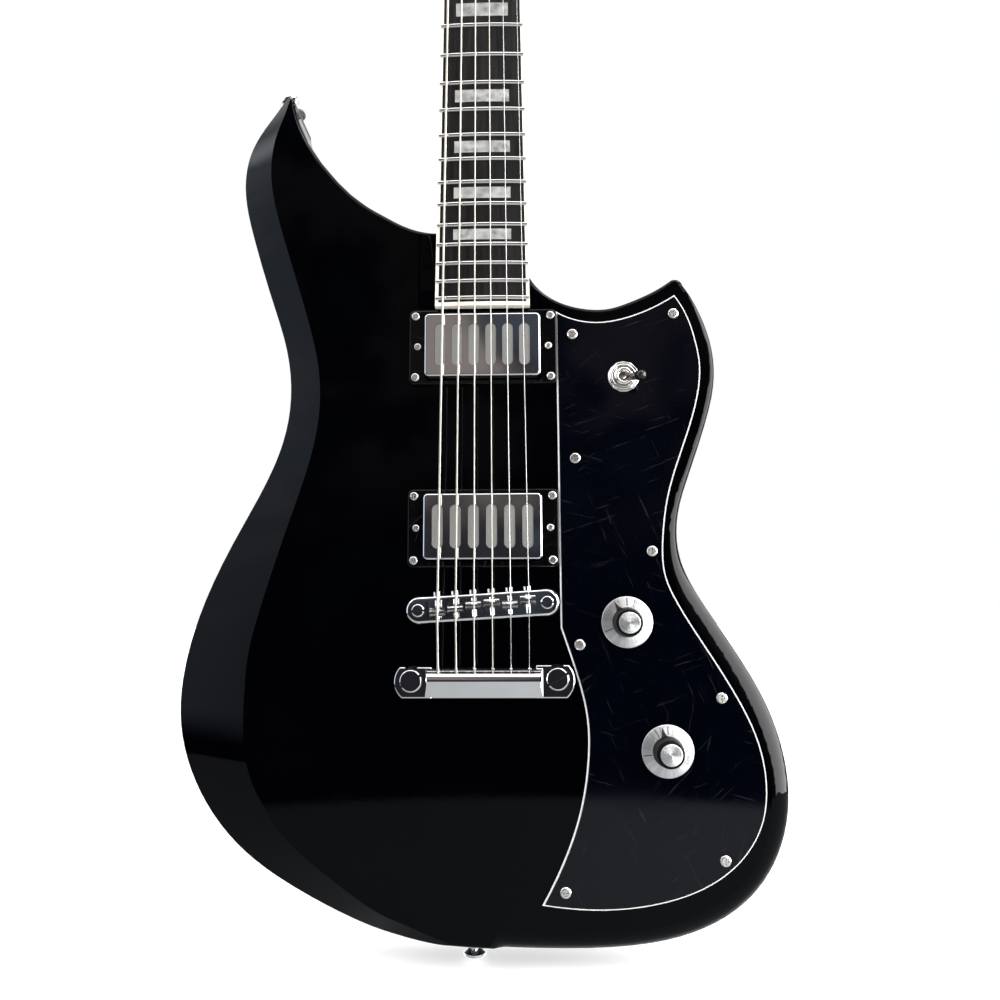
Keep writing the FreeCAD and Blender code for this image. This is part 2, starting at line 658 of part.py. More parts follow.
def make_tuners():
    housings = []
    bushings = []
    screws = []
    face = BOARD_BOTTOM_H
    back = face - VENEER_T - HEAD_T
    for i, (side, x, s) in enumerate(tuner_places()):
        x = side * x
        z = SCALE + NUT_T + s
        worm_z = z - WORM_DROP
        worm_h = back - 5.5
        housing = rounded_block(x + side * 1.5, z - 3.6, 17, 23, back - 11, back, 3)
        housing = housing.makeFillet(1.4, [e for e in housing.Edges
                                           if e.BoundBox.YMin > -(BODY_T + back - 11) - 0.01])
        cavity = post(x, z, back - 9.2, back + 1, 6.2)
        worm_room = rod(at(x - side * 6, worm_z, worm_h), at(x + side * 8, worm_z, worm_h), 2.9)
        mouth = rod(at(x, worm_z, worm_h), at(x + side * 20, worm_z, worm_h), KEY_SHAFT_R + 0.05)
        housings.append(tilted(housing.cut(cavity).cut(worm_room).cut(mouth)))
        barrel = fuse(post(x, z, back + 0.2, face + 1.2, 4.5), post(x, z, face, face + 1.4, 6.6))
        bushings.append(tilted(barrel.cut(post(x, z, back - 1, face + 3, POST_R + 0.05))))
        shaft = post(x, z, back - 8.6, face + 4.4, POST_R)
        waist = post(x, z, face + 4.4, face + 11, POST_R - 0.5)
        crown = post(x, z, face + 11, face + 13, POST_R)
        wheel = post(x, z, back - 8.6, back - 1.4, 4.9)
        stem = fuse(shaft, waist, crown, wheel)
        stem = stem.cut(block(x - 0.5, x + 0.5, z - 4, z + 4, face + 9.4, face + 14))
        turns = []
        for turn in range(WRAP_TURNS):
            level = face + WRAP_LEVEL - turn * (2 * STRING_R[i] + 0.02)
            ring = Part.makeTorus(POST_R - 0.5 + STRING_R[i], STRING_R[i], at(x, z, level), FRONT)
            turns.append(tilted(ring))
        save("tuner_post_%d" % (i + 1), tilted(stem), *turns)
        worm = rod(at(x - side * 5.6, worm_z, worm_h), at(x + side * 7.6, worm_z, worm_h), 2.6)
        stalk = rod(at(x, worm_z, worm_h), at(x + side * 27, worm_z, worm_h), KEY_SHAFT_R)
        collar = rod(at(x + side * 10.4, worm_z, worm_h), at(x + side * 12.4, worm_z, worm_h), 3.4)
        button = stadium(0, 0, 20, 13, -3.4, 3.4)
        button = button.makeFillet(2.4, [e for e in button.Edges
                                         if e.BoundBox.YLength < 0.01])
        button.rotate(at(0, 0, 0), FRONT, 90)
        button.translate(FreeCAD.Vector(x + side * 31, -worm_h, worm_z))
        save("tuner_key_%d" % (i + 1), tilted(fuse(worm, stalk, collar, button)))
        tab_x, tab_z = tab_place(side, abs(x), s)
        screws.append(tilted(back_screw(tab_x, tab_z, back)))
    save("tuner_housings", *housings)
    save("tuner_bushings", *bushings)
    for x, s in COVER_SCREWS:
        z = SCALE + NUT_T + s
        head_h = BOARD_BOTTOM_H + COVER_PLATE_T
        screws.append(tilted(screw(x, z, head_h, 1.7, 0.9, 6, COVER_SCREW_R)))
    return screws


def back_screw(x, z, back):
    """Small screw driven into the headstock from behind, through a tab."""
    tab = post(x, z, back - 1.2, back, 3.4)
    head = post(x, z, back - 2.2, back - 1.2, 2.0)
    shank = post(x, z, back - 1.2, back + 7, TAB_SCREW_R)
    slot = block(x - 1.3, x + 1.3, z - 0.25, z + 0.25, back - 2.4, back - 1.8)
    return fuse(tab, head, shank).cut(slot)


# ---------------------------------------------------------------- strings
def string_route(i):
    """Tailpiece bar, just behind the saddle's travel, nut, then the side of the post."""
    side, x, s = tuner_places()[i]
    x_bridge = string_x_bridge(i)
    bridge_z = BRIDGE_Z + x_bridge * math.tan(math.radians(BRIDGE_TILT))
    bend_z = bridge_z - SADDLE_TRAVEL - 0.8
    r = STRING_R[i]
    points = [at(x_bridge, TAIL_Z, TAIL_H0 + 6.0), at(x_bridge, TAIL_Z + 8.5, TAIL_H0 + 6.4)]
    points.append(at(x_bridge, bend_z, STRING_H_BRIDGE))
    points.append(at(string_x_nut(i), SCALE + 1, STRING_H_NUT))
    points.append(at(string_x_nut(i), SCALE + NUT_T - 0.5, STRING_H_NUT - 0.4))
    clear = POST_R - 0.5 + 2 * r + WRAP_GAP + r
    points.append(head_point(side * (x - clear), s, WRAP_LEVEL))
    return points


def string(i):
    r = STRING_R[i]
    points = string_route(i)
    pieces = []
    for start, end in zip(points, points[1:]):
        pieces.append(rod(start, end, r))
    for joint in points[1:-1]:
        pieces.append(Part.makeSphere(r, joint))
    ball = Part.makeCylinder(BALL_R, BALL_L, points[0] - RIGHT * (BALL_L / 2), RIGHT)
    return fuse(ball, *pieces)


# ---------------------------------------------------------------- bridge and tailpiece
def make_bridge():
    half = BRIDGE_HALF_SPAN
    frame = stadium(0, BRIDGE_Z, BRIDGE_L, BRIDGE_W, BRIDGE_H0, BRIDGE_H1)
    frame = round_top(frame, 1.6)
    frame = frame.cut(block(-CHANNEL_HALF_L, CHANNEL_HALF_L, BRIDGE_Z - CHANNEL_W / 2,
                            BRIDGE_Z + CHANNEL_W / 2, BRIDGE_H0 + 2.2, BRIDGE_H1 + 1))
    for i in range(5):
        rib_x = (string_x_bridge(i) + string_x_bridge(i + 1)) / 2 - 0.4
        rib = block(rib_x - SADDLE_RIB / 2, rib_x + SADDLE_RIB / 2, BRIDGE_Z - CHANNEL_W / 2 - 0.5,
                    BRIDGE_Z + CHANNEL_W / 2 + 0.5, BRIDGE_H0 + 1, BRIDGE_H1 - 0.5)
        frame = frame.fuse(rib)
    screws = []
    for i in range(6):
        x = string_x_bridge(i) - 0.4
        z0 = BRIDGE_Z - BRIDGE_W / 2
        z1 = BRIDGE_Z + BRIDGE_W / 2
        h = BRIDGE_H0 + 5.2
        shaft = rod(at(x, z0 + 0.8, h), at(x, z1 + 0.4, h), SADDLE_SCREW_R)
        head = rod(at(x, z1 + 0.1, h), at(x, z1 + 2.2, h), 2.3)
        slot = block(x - 3, x + 3, z1 + 1.5, z1 + 3, h - 0.35, h + 0.35)
        frame = frame.cut(rod(at(x, z0 - 1, h), at(x, z1 + 1, h), SADDLE_SCREW_R))
        screws.append(on_bridge(fuse(shaft, head).cut(slot)))
    posts = []
    for side in (-1, 1):
        frame = frame.cut(post(side * half, BRIDGE_Z, BRIDGE_H0 - 1, BRIDGE_H1 + 1, 3.75))
        stem = post(side * half, BRIDGE_Z, -19, BRIDGE_H1 + 0.8, 3.7)
        stem = round_top(stem, 0.8)
        wheel = post(side * half, BRIDGE_Z, BRIDGE_H0 - 2.4, BRIDGE_H0, 8.0)
        slot = block(side * half - 5, side * half + 5, BRIDGE_Z - 0.6, BRIDGE_Z + 0.6,
                     BRIDGE_H1 - 0.6, BRIDGE_H1 + 2)
        anchor = post(side * half, BRIDGE_Z, -20, 0.3, 4.0).cut(
            post(side * half, BRIDGE_Z, -20, 1, 3.7))
        posts.append(on_bridge(fuse(stem, wheel).cut(slot)))
        posts.append(on_bridge(anchor))
    save("bridge_frame", on_bridge(frame))
    save("bridge_posts", *posts)
    save("saddle_screws", *screws)
    for i in range(6):
        save("saddle_%d" % (i + 1), on_bridge(saddle(i)))


def saddle(i):
    """Block with a sloping roof whose crest carries the string."""
    x = string_x_bridge(i) - 0.4
    z = BRIDGE_Z + SADDLE_OFFSETS[i]
    low = BRIDGE_H0 + 2.5
    crest = STRING_H_BRIDGE - STRING_R[i] - SADDLE_GAP
    half = SADDLE_T / 2
    outline = [at(x, z - half, low), at(x, z + half, low), at(x, z + half, crest - 3.2),
               at(x, z + 0.5, crest), at(x, z - 0.5, crest), at(x, z - half, crest - 3.2)]
    face = Part.Face(Part.makePolygon(outline + outline[:1]))
    face.translate(RIGHT * (-SADDLE_W / 2))
    solid = face.extrude(RIGHT * SADDLE_W)
    screw_h = BRIDGE_H0 + 5.2
    return solid.cut(rod(at(x, z - 6, screw_h), at(x, z + 6, screw_h), SADDLE_SCREW_R + 0.05))


def tail_bar():
    """Bar whose underside slopes in one facet and whose upper side is round, ends leaning in."""
    low = at(TAIL_BAR_X0, TAIL_LOW_Z, TAIL_H0)
    knee = at(TAIL_BAR_X0, TAIL_LOW_Z, TAIL_H0 + TAIL_KNEE_H)
    split = at(TAIL_BAR_X0, TAIL_SPLIT_Z, TAIL_H1 - 0.9)
    crown = at(TAIL_BAR_X0, TAIL_SPLIT_Z + 3.8, TAIL_H1)
    shoulder = at(TAIL_BAR_X0, TAIL_HIGH_Z - 2.2, TAIL_H1 - 3.4)
    side = at(TAIL_BAR_X0, TAIL_HIGH_Z - 0.6, TAIL_H1 - 5.8)
    high = at(TAIL_BAR_X0, TAIL_HIGH_Z, TAIL_H0 + 3.0)
    back = at(TAIL_BAR_X0, TAIL_HIGH_Z, TAIL_H0)
    edges = [line(low, knee), line(knee, split), arc(split, crown, shoulder),
             arc(shoulder, side, high), line(high, back), line(back, low)]
    bar = Part.Face(Part.Wire(edges)).extrude(RIGHT * (TAIL_BAR_X1 - TAIL_BAR_X0))
    for side, x in ((-1, TAIL_BAR_X0), (1, TAIL_BAR_X1)):
        end = block(x - 6, x + 6, TAIL_LOW_Z - 5, TAIL_HIGH_Z + 5, TAIL_H0 + EAR_T, 30)
        end.translate(RIGHT * (side * 6))
        end.rotate(at(x, TAIL_Z, TAIL_H0 + EAR_T), UP, -side * TAIL_END_LEAN)
        bar = bar.cut(end)
    return bar


def tail_ear(side, x, z, bar_x):
    """Lug beside the bar: round outside, flat underneath, wrapped round its stud."""
    foot = at(x + side * 5.4, TAIL_LOW_Z - 0.3, 0)
    top = at(x + side * 6.6, z + 7.6, 0)
    inner = bar_x - side * 4.0
    edges = [arc(top, at(x + side * EAR_REACH, z - 0.6, 0), foot),
             line(foot, at(inner, TAIL_LOW_Z - 0.3, 0)),
             line(at(inner, TAIL_LOW_Z - 0.3, 0), at(inner, z + 7.6, 0)),
             line(at(inner, z + 7.6, 0), top)]
    ear = slab(edges, TAIL_H0 + 0.6, TAIL_H0 + 0.6 + EAR_T)
    return round_top(ear, EAR_ROUND)


def make_tailpiece():
    """Stop bar with two ears hooked on its slotted studs."""
    (_, x0, z0), (_, x1, z1) = TAIL_STUDS
    ears = [tail_ear(-1, x0, z0, TAIL_BAR_X0), tail_ear(1, x1, z1, TAIL_BAR_X1)]
    solid = fuse(tail_bar(), *ears)
    ear_top = TAIL_H0 + 0.6 + EAR_T
    studs = []
    for side, x, sz in TAIL_STUDS:
        throat = fuse(post(x, sz, 0, 30, 3.55), block(x - 3.55, x + 3.55, sz, sz + 20, 0, 30))
        room = post(x, sz, ear_top, 30, 6.8)
        solid = solid.cut(throat).cut(room)
        stem = post(x, sz, -16, ear_top + 0.1, 3.5)
        collar = post(x, sz, TAIL_H0 - 2.4, TAIL_H0 - 0.05, 5.6)
        head = post(x, sz, ear_top + 0.1, ear_top + 3.1, 6.4)
        head = round_top(head, 0.9)
        slot = block(x - 9, x + 9, sz - 0.8, sz + 0.8, ear_top + 1.6, ear_top + 4.4)
        slot.rotate(at(x, sz, 0), FRONT, 30)
        studs.append(fuse(stem, collar, head).cut(slot))
        bushing = fuse(post(x, sz, -24, 0, 5.8), post(x, sz, 0, 1.4, 7.4))
        studs.append(bushing.cut(post(x, sz, -17, 3, 3.5)))
    for i in range(6):
        x = string_x_bridge(i)
        ball_h = TAIL_H0 + 6.0
        hole = rod(at(x, TAIL_Z, ball_h), at(x, TAIL_Z + 20, ball_h + 0.9), 1.1)
        seat = block(x - BALL_SEAT, x + BALL_SEAT, TAIL_Z - BALL_SEAT, TAIL_Z + BALL_SEAT,
                     TAIL_H0 - 1, ball_h + BALL_SEAT)
        solid = solid.cut(hole).cut(seat)
    save("tailpiece", solid)
    save("tailpiece_studs", *studs)


# ---------------------------------------------------------------- pickups
def ring_screw_places(ring_z):
    return [(sx * 40.9, ring_z + sz * 19.0) for sx in (-1, 1) for sz in (-1, 1)]


def pickup_ring(z, ring_z):
    ring = round_top(rounded_block(0, ring_z, RING_L, RING_W, 0, RING_H, 3.5), 1.2)
    ring = ring.cut(rounded_block(0, z, COVER_L + 1.2, COVER_W + 1.2, -1, RING_H + 1, 3.2))
    places = ring_screw_places(ring_z) + [(-HEIGHT_SCREW_X, ring_z), (HEIGHT_SCREW_X, ring_z)]
    return ring.cut(Part.makeCompound([post(x, sz, -1, RING_H, 1.2) for x, sz in places]))


def pickup_cover(z, pitch):
    """Thin metal shell with six upright slots."""
    low = COVER_TOP_H - COVER_DEPTH
    shell = round_top(rounded_block(0, z, COVER_L, COVER_W, low, COVER_TOP_H, 2.8), 1.2)
    shell = shell.cut(rounded_block(0, z, COVER_L - 1.2, COVER_W - 1.2, low - 1,
                                    COVER_TOP_H - COVER_WALL, 2.2))
    for k in range(6):
        x = (k - 2.5) * pitch
        shell = shell.cut(upright_slot(x, z, SLOT_W, SLOT_LENGTH, COVER_TOP_H - 2,
                                       COVER_TOP_H + 1))
    return shell


def pickup_plate(z, ring_z):
    """Base plate under the coils with a leg and a threaded foot at each end."""
    low = COVER_TOP_H - COVER_DEPTH
    plate = rounded_block(0, z, COVER_L - 1.4, COVER_W - 1.4, low, low + 1.6, 2)
    pieces = [plate]
    for side in (-1, 1):
        inner, bend, outer = sorted((side * 31, side * 32.4)), side * 31, side * 44
        pieces.append(block(inner[0], inner[1], ring_z - 5, ring_z + 5, PICKUP_FOOT_H, low + 1))
        foot = block(min(bend, outer), max(bend, outer), ring_z - 5, ring_z + 5, PICKUP_FOOT_H,
                     PICKUP_FOOT_H + PICKUP_FOOT_T)
        hole = post(side * HEIGHT_SCREW_X, ring_z, PICKUP_FOOT_H - 1, PICKUP_FOOT_H + 3, 1.3)
        pieces.append(foot.cut(hole))
    return fuse(*pieces)


def pickup_spring(x, z):
    """Stack of turns round a height screw, between the foot and the ring."""
    h0 = PICKUP_FOOT_H + PICKUP_FOOT_T
    turns = [Part.makeTorus(2.1, 0.5, at(x, z, h0 + 0.5 + k * 1.25), FRONT) for k in range(9)]
    tie = post(x, z, h0 + 0.5, h0 + 10.5, 2.3).cut(post(x, z, h0, h0 + 12, 1.9))
    return fuse(tie, *turns)


def make_pickups():
    rings = []
    screws = []
    springs = []
    for name, z, ring_z, pitch in zip(("neck_pickup", "bridge_pickup"), PICKUP_Z, RING_Z,
                                      SLOT_PITCH):
        rings.append(pickup_ring(z, ring_z))
        low = COVER_TOP_H - COVER_DEPTH
        save(name + "_cover", pickup_cover(z, pitch), pickup_plate(z, ring_z))
        coils = rounded_block(0, z, COVER_L - 2, COVER_W - 2, low + 1.8, COVER_TOP_H - 3.2, 2)
        inserts = [upright_slot((k - 2.5) * pitch, z, SLOT_W - 0.2, SLOT_LENGTH - 0.2,
                                COVER_TOP_H - 3.2, COVER_TOP_H - 0.45) for k in range(6)]
        save(name + "_coils", coils, *inserts)
        for x, screw_z in ring_screw_places(ring_z):
            screws.append(screw(x, screw_z, RING_H, 2.5, 1.3, 14, 1.2))
        for side in (-1, 1):
            x = side * HEIGHT_SCREW_X
            screws.append(screw(x, ring_z, RING_H, 2.1, 1.1, 20, 1.1))
            springs.append(pickup_spring(x, ring_z))
    save("pickup_rings", *rings)
    save("ring_screws", *screws)
    save("pickup_springs", *springs)


def upright_slot(x, z, width, length, h0, h1):
    half = (length - width) / 2
    bar = block(x - width / 2, x + width / 2, z - half, z + half, h0, h1)
    return fuse(bar, post(x, z - half, h0, h1, width / 2), post(x, z + half, h0, h1, width / 2))


# ---------------------------------------------------------------- pickguard and controls
# Four runs, clockwise from the upper left corner.
GUARD_RUNS = (((44.8, 171.8), (56.8, 166.8), (70, 165.1), (86.2, 167.6), (101, 172.9),
               (116.6, 181.4)),
              ((116.6, 181.4), (122.9, 170.5), (128, 154.5), (130.5, 137), (128.2, 117.8),
               (119, 88.5), (109.6, 60), (105.4, 32), (106.2, 11.9), (113.2, -5),
               (128, -29.5), (144.7, -57.3), (155.4, -81), (159.6, -108.5), (156.4, -127.5),
               (144, -147.2), (125.8, -160.6), (98, -170.2), (64, -173.7), (33.4, -171.3)),
              ((33.4, -171.3), (45.6, -147.6), (54.4, -123.5), (59.6, -95), (59.7, -70),
               (54.4, -46), (45.4, -18.4)),
              ((45.4, -18.4), (44.8, 171.8)))
GUARD_SCREWS = ((54.2, 157.6), (115.4, 169.8), (54.8, 81.3), (98.9, 25.8), (55.8, -28.1),
                (136.2, -58.3), (135, -147.1), (45.8, -164.3))


def inset_runs(runs, inset):
    """Closed outline of smooth runs drawn inwards, its corners kept sharp."""
    rails = []
    for run in runs:
        curve = Part.BSplineCurve()
        curve.interpolate([at(x, z, 0) for x, z in run])
        rail = []
        for x, z in run:
            tangent = curve.tangent(curve.parameter(at(x, z, 0)))[0]
            rail.append((at(x, z, 0), FreeCAD.Vector(tangent.z, 0, -tangent.x)))
        rails.append(rail)
    corners = []
    for before, after in zip(rails, rails[1:] + rails[:1]):
        corner, first = before[-1]
        second = after[0][1]
        corners.append(corner + (first + second) * (inset / (1 + first.dot(second))))
    edges = []
    for k, rail in enumerate(rails):
        inner = [point + normal * inset for point, normal in rail[1:-1]]
        points = [corners[k - 1]] + inner + [corners[k]]
        edges.append(smooth(points) if inner else line(*points))
    return edges


def guard_layer(inset, h0, h1):
    """One ply: the full outline drawn in by an inset, pierced for its fittings."""
    layer = slab(inset_runs(GUARD_RUNS, inset), h0, h1)
    holes = [post(x, z, h0 - 1, h1 + 1, 1.5) for x, z in GUARD_SCREWS]
    holes += [post(x, z, h0 - 1, h1 + 1, 4.0) for x, z in KNOBS.values()]
    holes.append(post(SWITCH_X, SWITCH_Z, h0 - 1, h1 + 1, 6.1))
    for z in RING_Z:
        holes.append(rounded_block(0, z, RING_L + 0.1, RING_W + 0.1, h0 - 1, h1 + 1, 3.5))
    return layer.cut(Part.makeCompound(holes))


def make_pickguard():
    base_top = GUARD_BASE_T
    core_top = base_top + GUARD_CORE_T
    base = guard_layer(GUARD_BASE_INSET, 0, base_top)
    core = guard_layer(GUARD_CORE_INSET, base_top, core_top)
    top = guard_layer(GUARD_TOP_INSET, core_top, GUARD_T)
    save("pickguard", top, base)
    save("pickguard_core", core)
    return [screw(x, z, GUARD_T, 3.2, 1.5, 14, 1.5) for x, z in GUARD_SCREWS]


def knurled(x, z, h0, h1, r, ridges):
    """Drum with a fluted side."""
    drum = post(x, z, h0, h1, r)
    drum = round_top(drum, 0.8)
    flutes = []
    for k in range(ridges):
        angle = 2 * math.pi * k / ridges
        flutes.append(post(x + (r + 0.35) * math.cos(angle), z + (r + 0.35) * math.sin(angle),
                           h0 - 1, h1 + 1, 0.75))
    return drum.cut(Part.makeCompound(flutes))


def make_knobs():
    pots = []
    for name, (x, z) in KNOBS.items():
        gap = GUARD_T + 2.6
        skirt = post(x, z, gap, gap + 1.2, SKIRT_R)
        skirt = round_top(skirt, 0.5).cut(post(x, z, gap - 1, gap + 3, POT_SHAFT_R))
        drum = knurled(x, z, gap + 1.2, gap + 12.6, KNOB_R, 24)
        drum = drum.cut(post(x, z, gap, gap + 9.6, POT_SHAFT_R))
        drum = drum.cut(post(x, z, gap + 11.8, gap + 14, CAP_R))
        cap = round_top(post(x, z, gap + 11.8, gap + 12.9, CAP_R), 0.3)
        shaft = post(x, z, -4, gap + 9.4, POT_SHAFT_R)
        save(name + "_knob", drum)
        save(name + "_knob_skirt", skirt, cap)
        save(name + "_pot_shaft", shaft)
        can = post(x, z, -13, -2, 12.0)
        neck = post(x, z, -2, GUARD_T + 2.2, 3.95)
        hex_nut = hexagon(x, z, 6.4, GUARD_T, GUARD_T + 2.2)
        pot = fuse(can, neck, hex_nut).cut(post(x, z, -4.4, 10, POT_SHAFT_R + 0.05))
        pots.append(pot)
        pots.append(block(x - 8, x + 8, z - 17, z - 12.2, -5, -3.4))
    save("pot_housings", *pots)


def hexagon(x, z, r, h0, h1):
    corners = []
    for k in range(7):
        angle = math.radians(60 * k)
        corners.append(at(x + r * math.cos(angle), z + r * math.sin(angle), h0))
    return Part.Face(Part.makePolygon(corners)).extrude(FRONT * (h1 - h0))


def make_switch():
    x = SWITCH_X
    z = SWITCH_Z
    top = GUARD_T
    washer = round_top(post(x, z, top, top + 1.0, 9.0), 0.4)
    collar = round_top(post(x, z, top + 1.0, top + 3.6, 6.4), 1.2)
    barrel = post(x, z, -6, top + 3.0, 6.0)
    frame = block(x - 8, x + 8, z - 11, z + 11, -12, -6)
    blades = block(x - 5, x + 5, z - 9, z + 9, -30, -12)
    housing = fuse(washer, collar, barrel, frame, blades)
    pivot = at(x, z, -1.0)
    bore = Part.makeCone(3.6, 7.2, 12, pivot, FRONT)
    housing = housing.cut(bore).cut(Part.makeSphere(3.6, pivot)).cut(post(x, z, -4, 0, 3.6))
    save("switch_housing", housing)
    stalk = post(x, z, -0.5, 13, 1.5)
    ball = Part.makeSphere(2.9, pivot)
    tip = Part.makeCone(2.1, 3.0, 9.0, at(x, z, 10.5), FRONT)
    dome = Part.makeSphere(3.0, at(x, z, 19.5))
    heading = math.radians(LEVER_HEADING)
    axis = FreeCAD.Vector(-math.sin(heading), 0, math.cos(heading))
    pin = Part.makeCylinder(0.8, 2 * PIN_HALF_L, pivot - axis * PIN_HALF_L, axis)
    lever = fuse(ball, stalk, tip, dome, pin)
    lever.rotate(pivot, axis, LEVER_LEAN)
    save("switch_lever", lever)


def make_electrics():
    x_wall = 172.4
    centre = at(x_wall, JACK_Z, -24)
    flange = Part.makeCylinder(13.2, 2.0, centre, RIGHT)
    flange = flange.makeFillet(0.9, [e for e in flange.Edges
                                     if e.BoundBox.XMin > x_wall + 1.9])
    cup = Part.makeCylinder(10.8, 16.0, centre - RIGHT * 16, RIGHT)
    bushing = Part.makeCylinder(5.6, 3.6, centre, RIGHT)
    body = Part.makeCylinder(9.0, 16.0, centre - RIGHT * 30, RIGHT)
    shell = fuse(flange, cup, bushing, body)
    shell = shell.cut(Part.makeCylinder(JACK_BORE_R, 26, centre - RIGHT * 22, RIGHT))
    save("output_jack", shell)
    vx, vz = KNOBS["volume"]
    tx, tz = KNOBS["tone"]
    runs = [(at(vx - 4, vz + 8, -20), at(SWITCH_X - 4, SWITCH_Z - 14, -20)),
            (at(vx + 6, vz - 14, -18), at(tx - 2, tz + 14, -18)),
            (at(tx + 10, tz - 10, -24), at(136, JACK_Z, -24))]
    wires = [rod(start, end, 1.1) for start, end in runs]
    capacitor = stadium(tx - 2, tz + 4, 14, 6, -22, -16)
    save("wiring_harness", capacitor, *wires)


def strap_button(origin, axis):
    """Button turned on its screw axis: felt against the body, waist, wide head."""
    felt = Part.makeCylinder(7.0, FELT_T, origin, axis)
    felt = felt.cut(Part.makeCylinder(2.6, FELT_T, origin, axis))
    base = origin + axis * FELT_T
    foot = Part.makeCylinder(5.2, 1.6, base, axis)
    waist = Part.makeCylinder(3.4, 7.0, base, axis)
    flare = Part.makeCone(3.4, 6.6, 2.4, base + axis * 6.4, axis)
    head = Part.makeCylinder(6.75, 1.8, base + axis * 8.8, axis)
    head = head.makeFillet(0.8, head.Edges[:1])
    head = head.cut(Part.makeCone(1.2, 3.4, 1.6, base + axis * 9.1, axis))
    shank = Part.makeCylinder(2.4, 24.0, origin - axis * 20, axis)
    return felt, fuse(foot, waist, flare, head, shank)


def make_strap_buttons():
    bottom = FreeCAD.Vector(-6.3, -22.5, -195.2)
    horn = FreeCAD.Vector(-126.4, -22.5, 318.1)
    horn_axis = FreeCAD.Vector(-0.34, 0, 0.94)
    horn_axis.normalize()
    buttons = [strap_button(bottom, UP * -1), strap_button(horn, horn_axis)]
    save("strap_buttons", buttons[0][1], buttons[1][1])
    save("strap_felts", buttons[0][0], buttons[1][0])
    return buttons


# ---------------------------------------------------------------- build
os.makedirs("parts", exist_ok=True)
tenon = make_neck_group()
buttons = make_strap_buttons()
body = make_body(tenon)
for felt, button in buttons:
    body = body.cut(button).cut(felt)
drilled = [post(x, z, -12, 1, 1.5) for x, z in GUARD_SCREWS]
for ring_z in RING_Z:
    drilled += [post(x, z, -10, 1, 1.2) for x, z in ring_screw_places(ring_z)]
body = body.cut(Part.makeCompound(drilled))
save("body", body)
tuner_screws = make_tuners()
save("wound_strings", *[string(i) for i in range(4)])
save("plain_strings", *[string(i) for i in (4, 5)])
make_bridge()
make_tailpiece()
make_pickups()
guard_screws = make_pickguard()
save("cover_screws", *guard_screws, *tuner_screws)
make_knobs()
make_switch()
make_electrics()
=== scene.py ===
import json
import math

import bmesh
import bpy
from mathutils import Matrix, Vector


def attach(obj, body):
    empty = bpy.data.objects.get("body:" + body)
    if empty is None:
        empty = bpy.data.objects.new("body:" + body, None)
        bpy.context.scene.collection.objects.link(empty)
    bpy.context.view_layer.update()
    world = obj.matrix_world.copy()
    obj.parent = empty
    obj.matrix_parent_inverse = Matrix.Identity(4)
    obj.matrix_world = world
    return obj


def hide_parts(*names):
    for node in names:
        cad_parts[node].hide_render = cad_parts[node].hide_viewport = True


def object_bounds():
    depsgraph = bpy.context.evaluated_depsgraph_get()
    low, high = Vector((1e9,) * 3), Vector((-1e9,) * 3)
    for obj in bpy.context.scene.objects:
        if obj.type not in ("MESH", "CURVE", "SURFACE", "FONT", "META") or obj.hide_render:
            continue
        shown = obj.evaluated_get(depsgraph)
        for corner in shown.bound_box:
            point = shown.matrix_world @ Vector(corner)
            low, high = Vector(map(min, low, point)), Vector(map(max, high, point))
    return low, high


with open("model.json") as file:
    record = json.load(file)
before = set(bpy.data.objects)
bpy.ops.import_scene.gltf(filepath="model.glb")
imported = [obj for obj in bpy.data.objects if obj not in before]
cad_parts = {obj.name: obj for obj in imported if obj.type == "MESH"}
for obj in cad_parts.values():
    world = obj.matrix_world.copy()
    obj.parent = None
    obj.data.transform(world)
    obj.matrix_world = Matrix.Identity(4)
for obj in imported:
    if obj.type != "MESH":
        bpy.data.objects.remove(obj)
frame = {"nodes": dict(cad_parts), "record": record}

CAD_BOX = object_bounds()
NODES = frame["nodes"]

# ------------------------------------------------------------------ places and sizes
# The front face's place in metres. Knob and switch numbers are in millimetres and degrees.
FRONT_Y = -0.045
GUARD_TOP = 2.4
KNOBS = {"volume": (83.0, -15.2), "tone": (104.2, -87.4)}
POINTERS = {"volume": 32, "tone": 13}
# Scale marks on each skirt: angle from the top, and half width.
TICKS = {"volume": ((0, 0.26), (-21, 0.18), (-26, 0.14), (22, 0.10), (113, 0.2)),
         "tone": ((31, 0.2), (19, 0.12), (-1, 0.26), (-14, 0.08), (100, 0.24))}
SKIRT_RISE = 2.6
SKIRT_EDGE_R = 14.0
SKIRT_EDGE_H = 1.12
SKIRT_SLOPE = 0.2
FLUTES = 60
FLUTE_DEPTH = 0.17
SWITCH_AT = (84.6, 130.8)
PIVOT_H = -1.0
LEVER_LEAN = 25.0
LEVER_HEADING = -21.7

# Stage: the floor in metres, the horizon as the upward part of a unit direction.
FLOOR_HALF = 6.0
FLOOR_GAP = 0.004
FLOOR_GLOW = 0.36
SOFT_LIGHT = 0.85
HORIZON = -0.225
HORIZON_BLUR = 0.004
LEFT_TABLE_DROP = 0.07

# Camera: focal length and sensor in millimetres, turn in degrees, place in metres.
LENS = 28.72
SENSOR_WIDTH = 36.0
CAMERA_TURN = (-7.076, -1.421, 0.218)
CAMERA_PLACE = (0.0216, -0.5167, -0.0017)


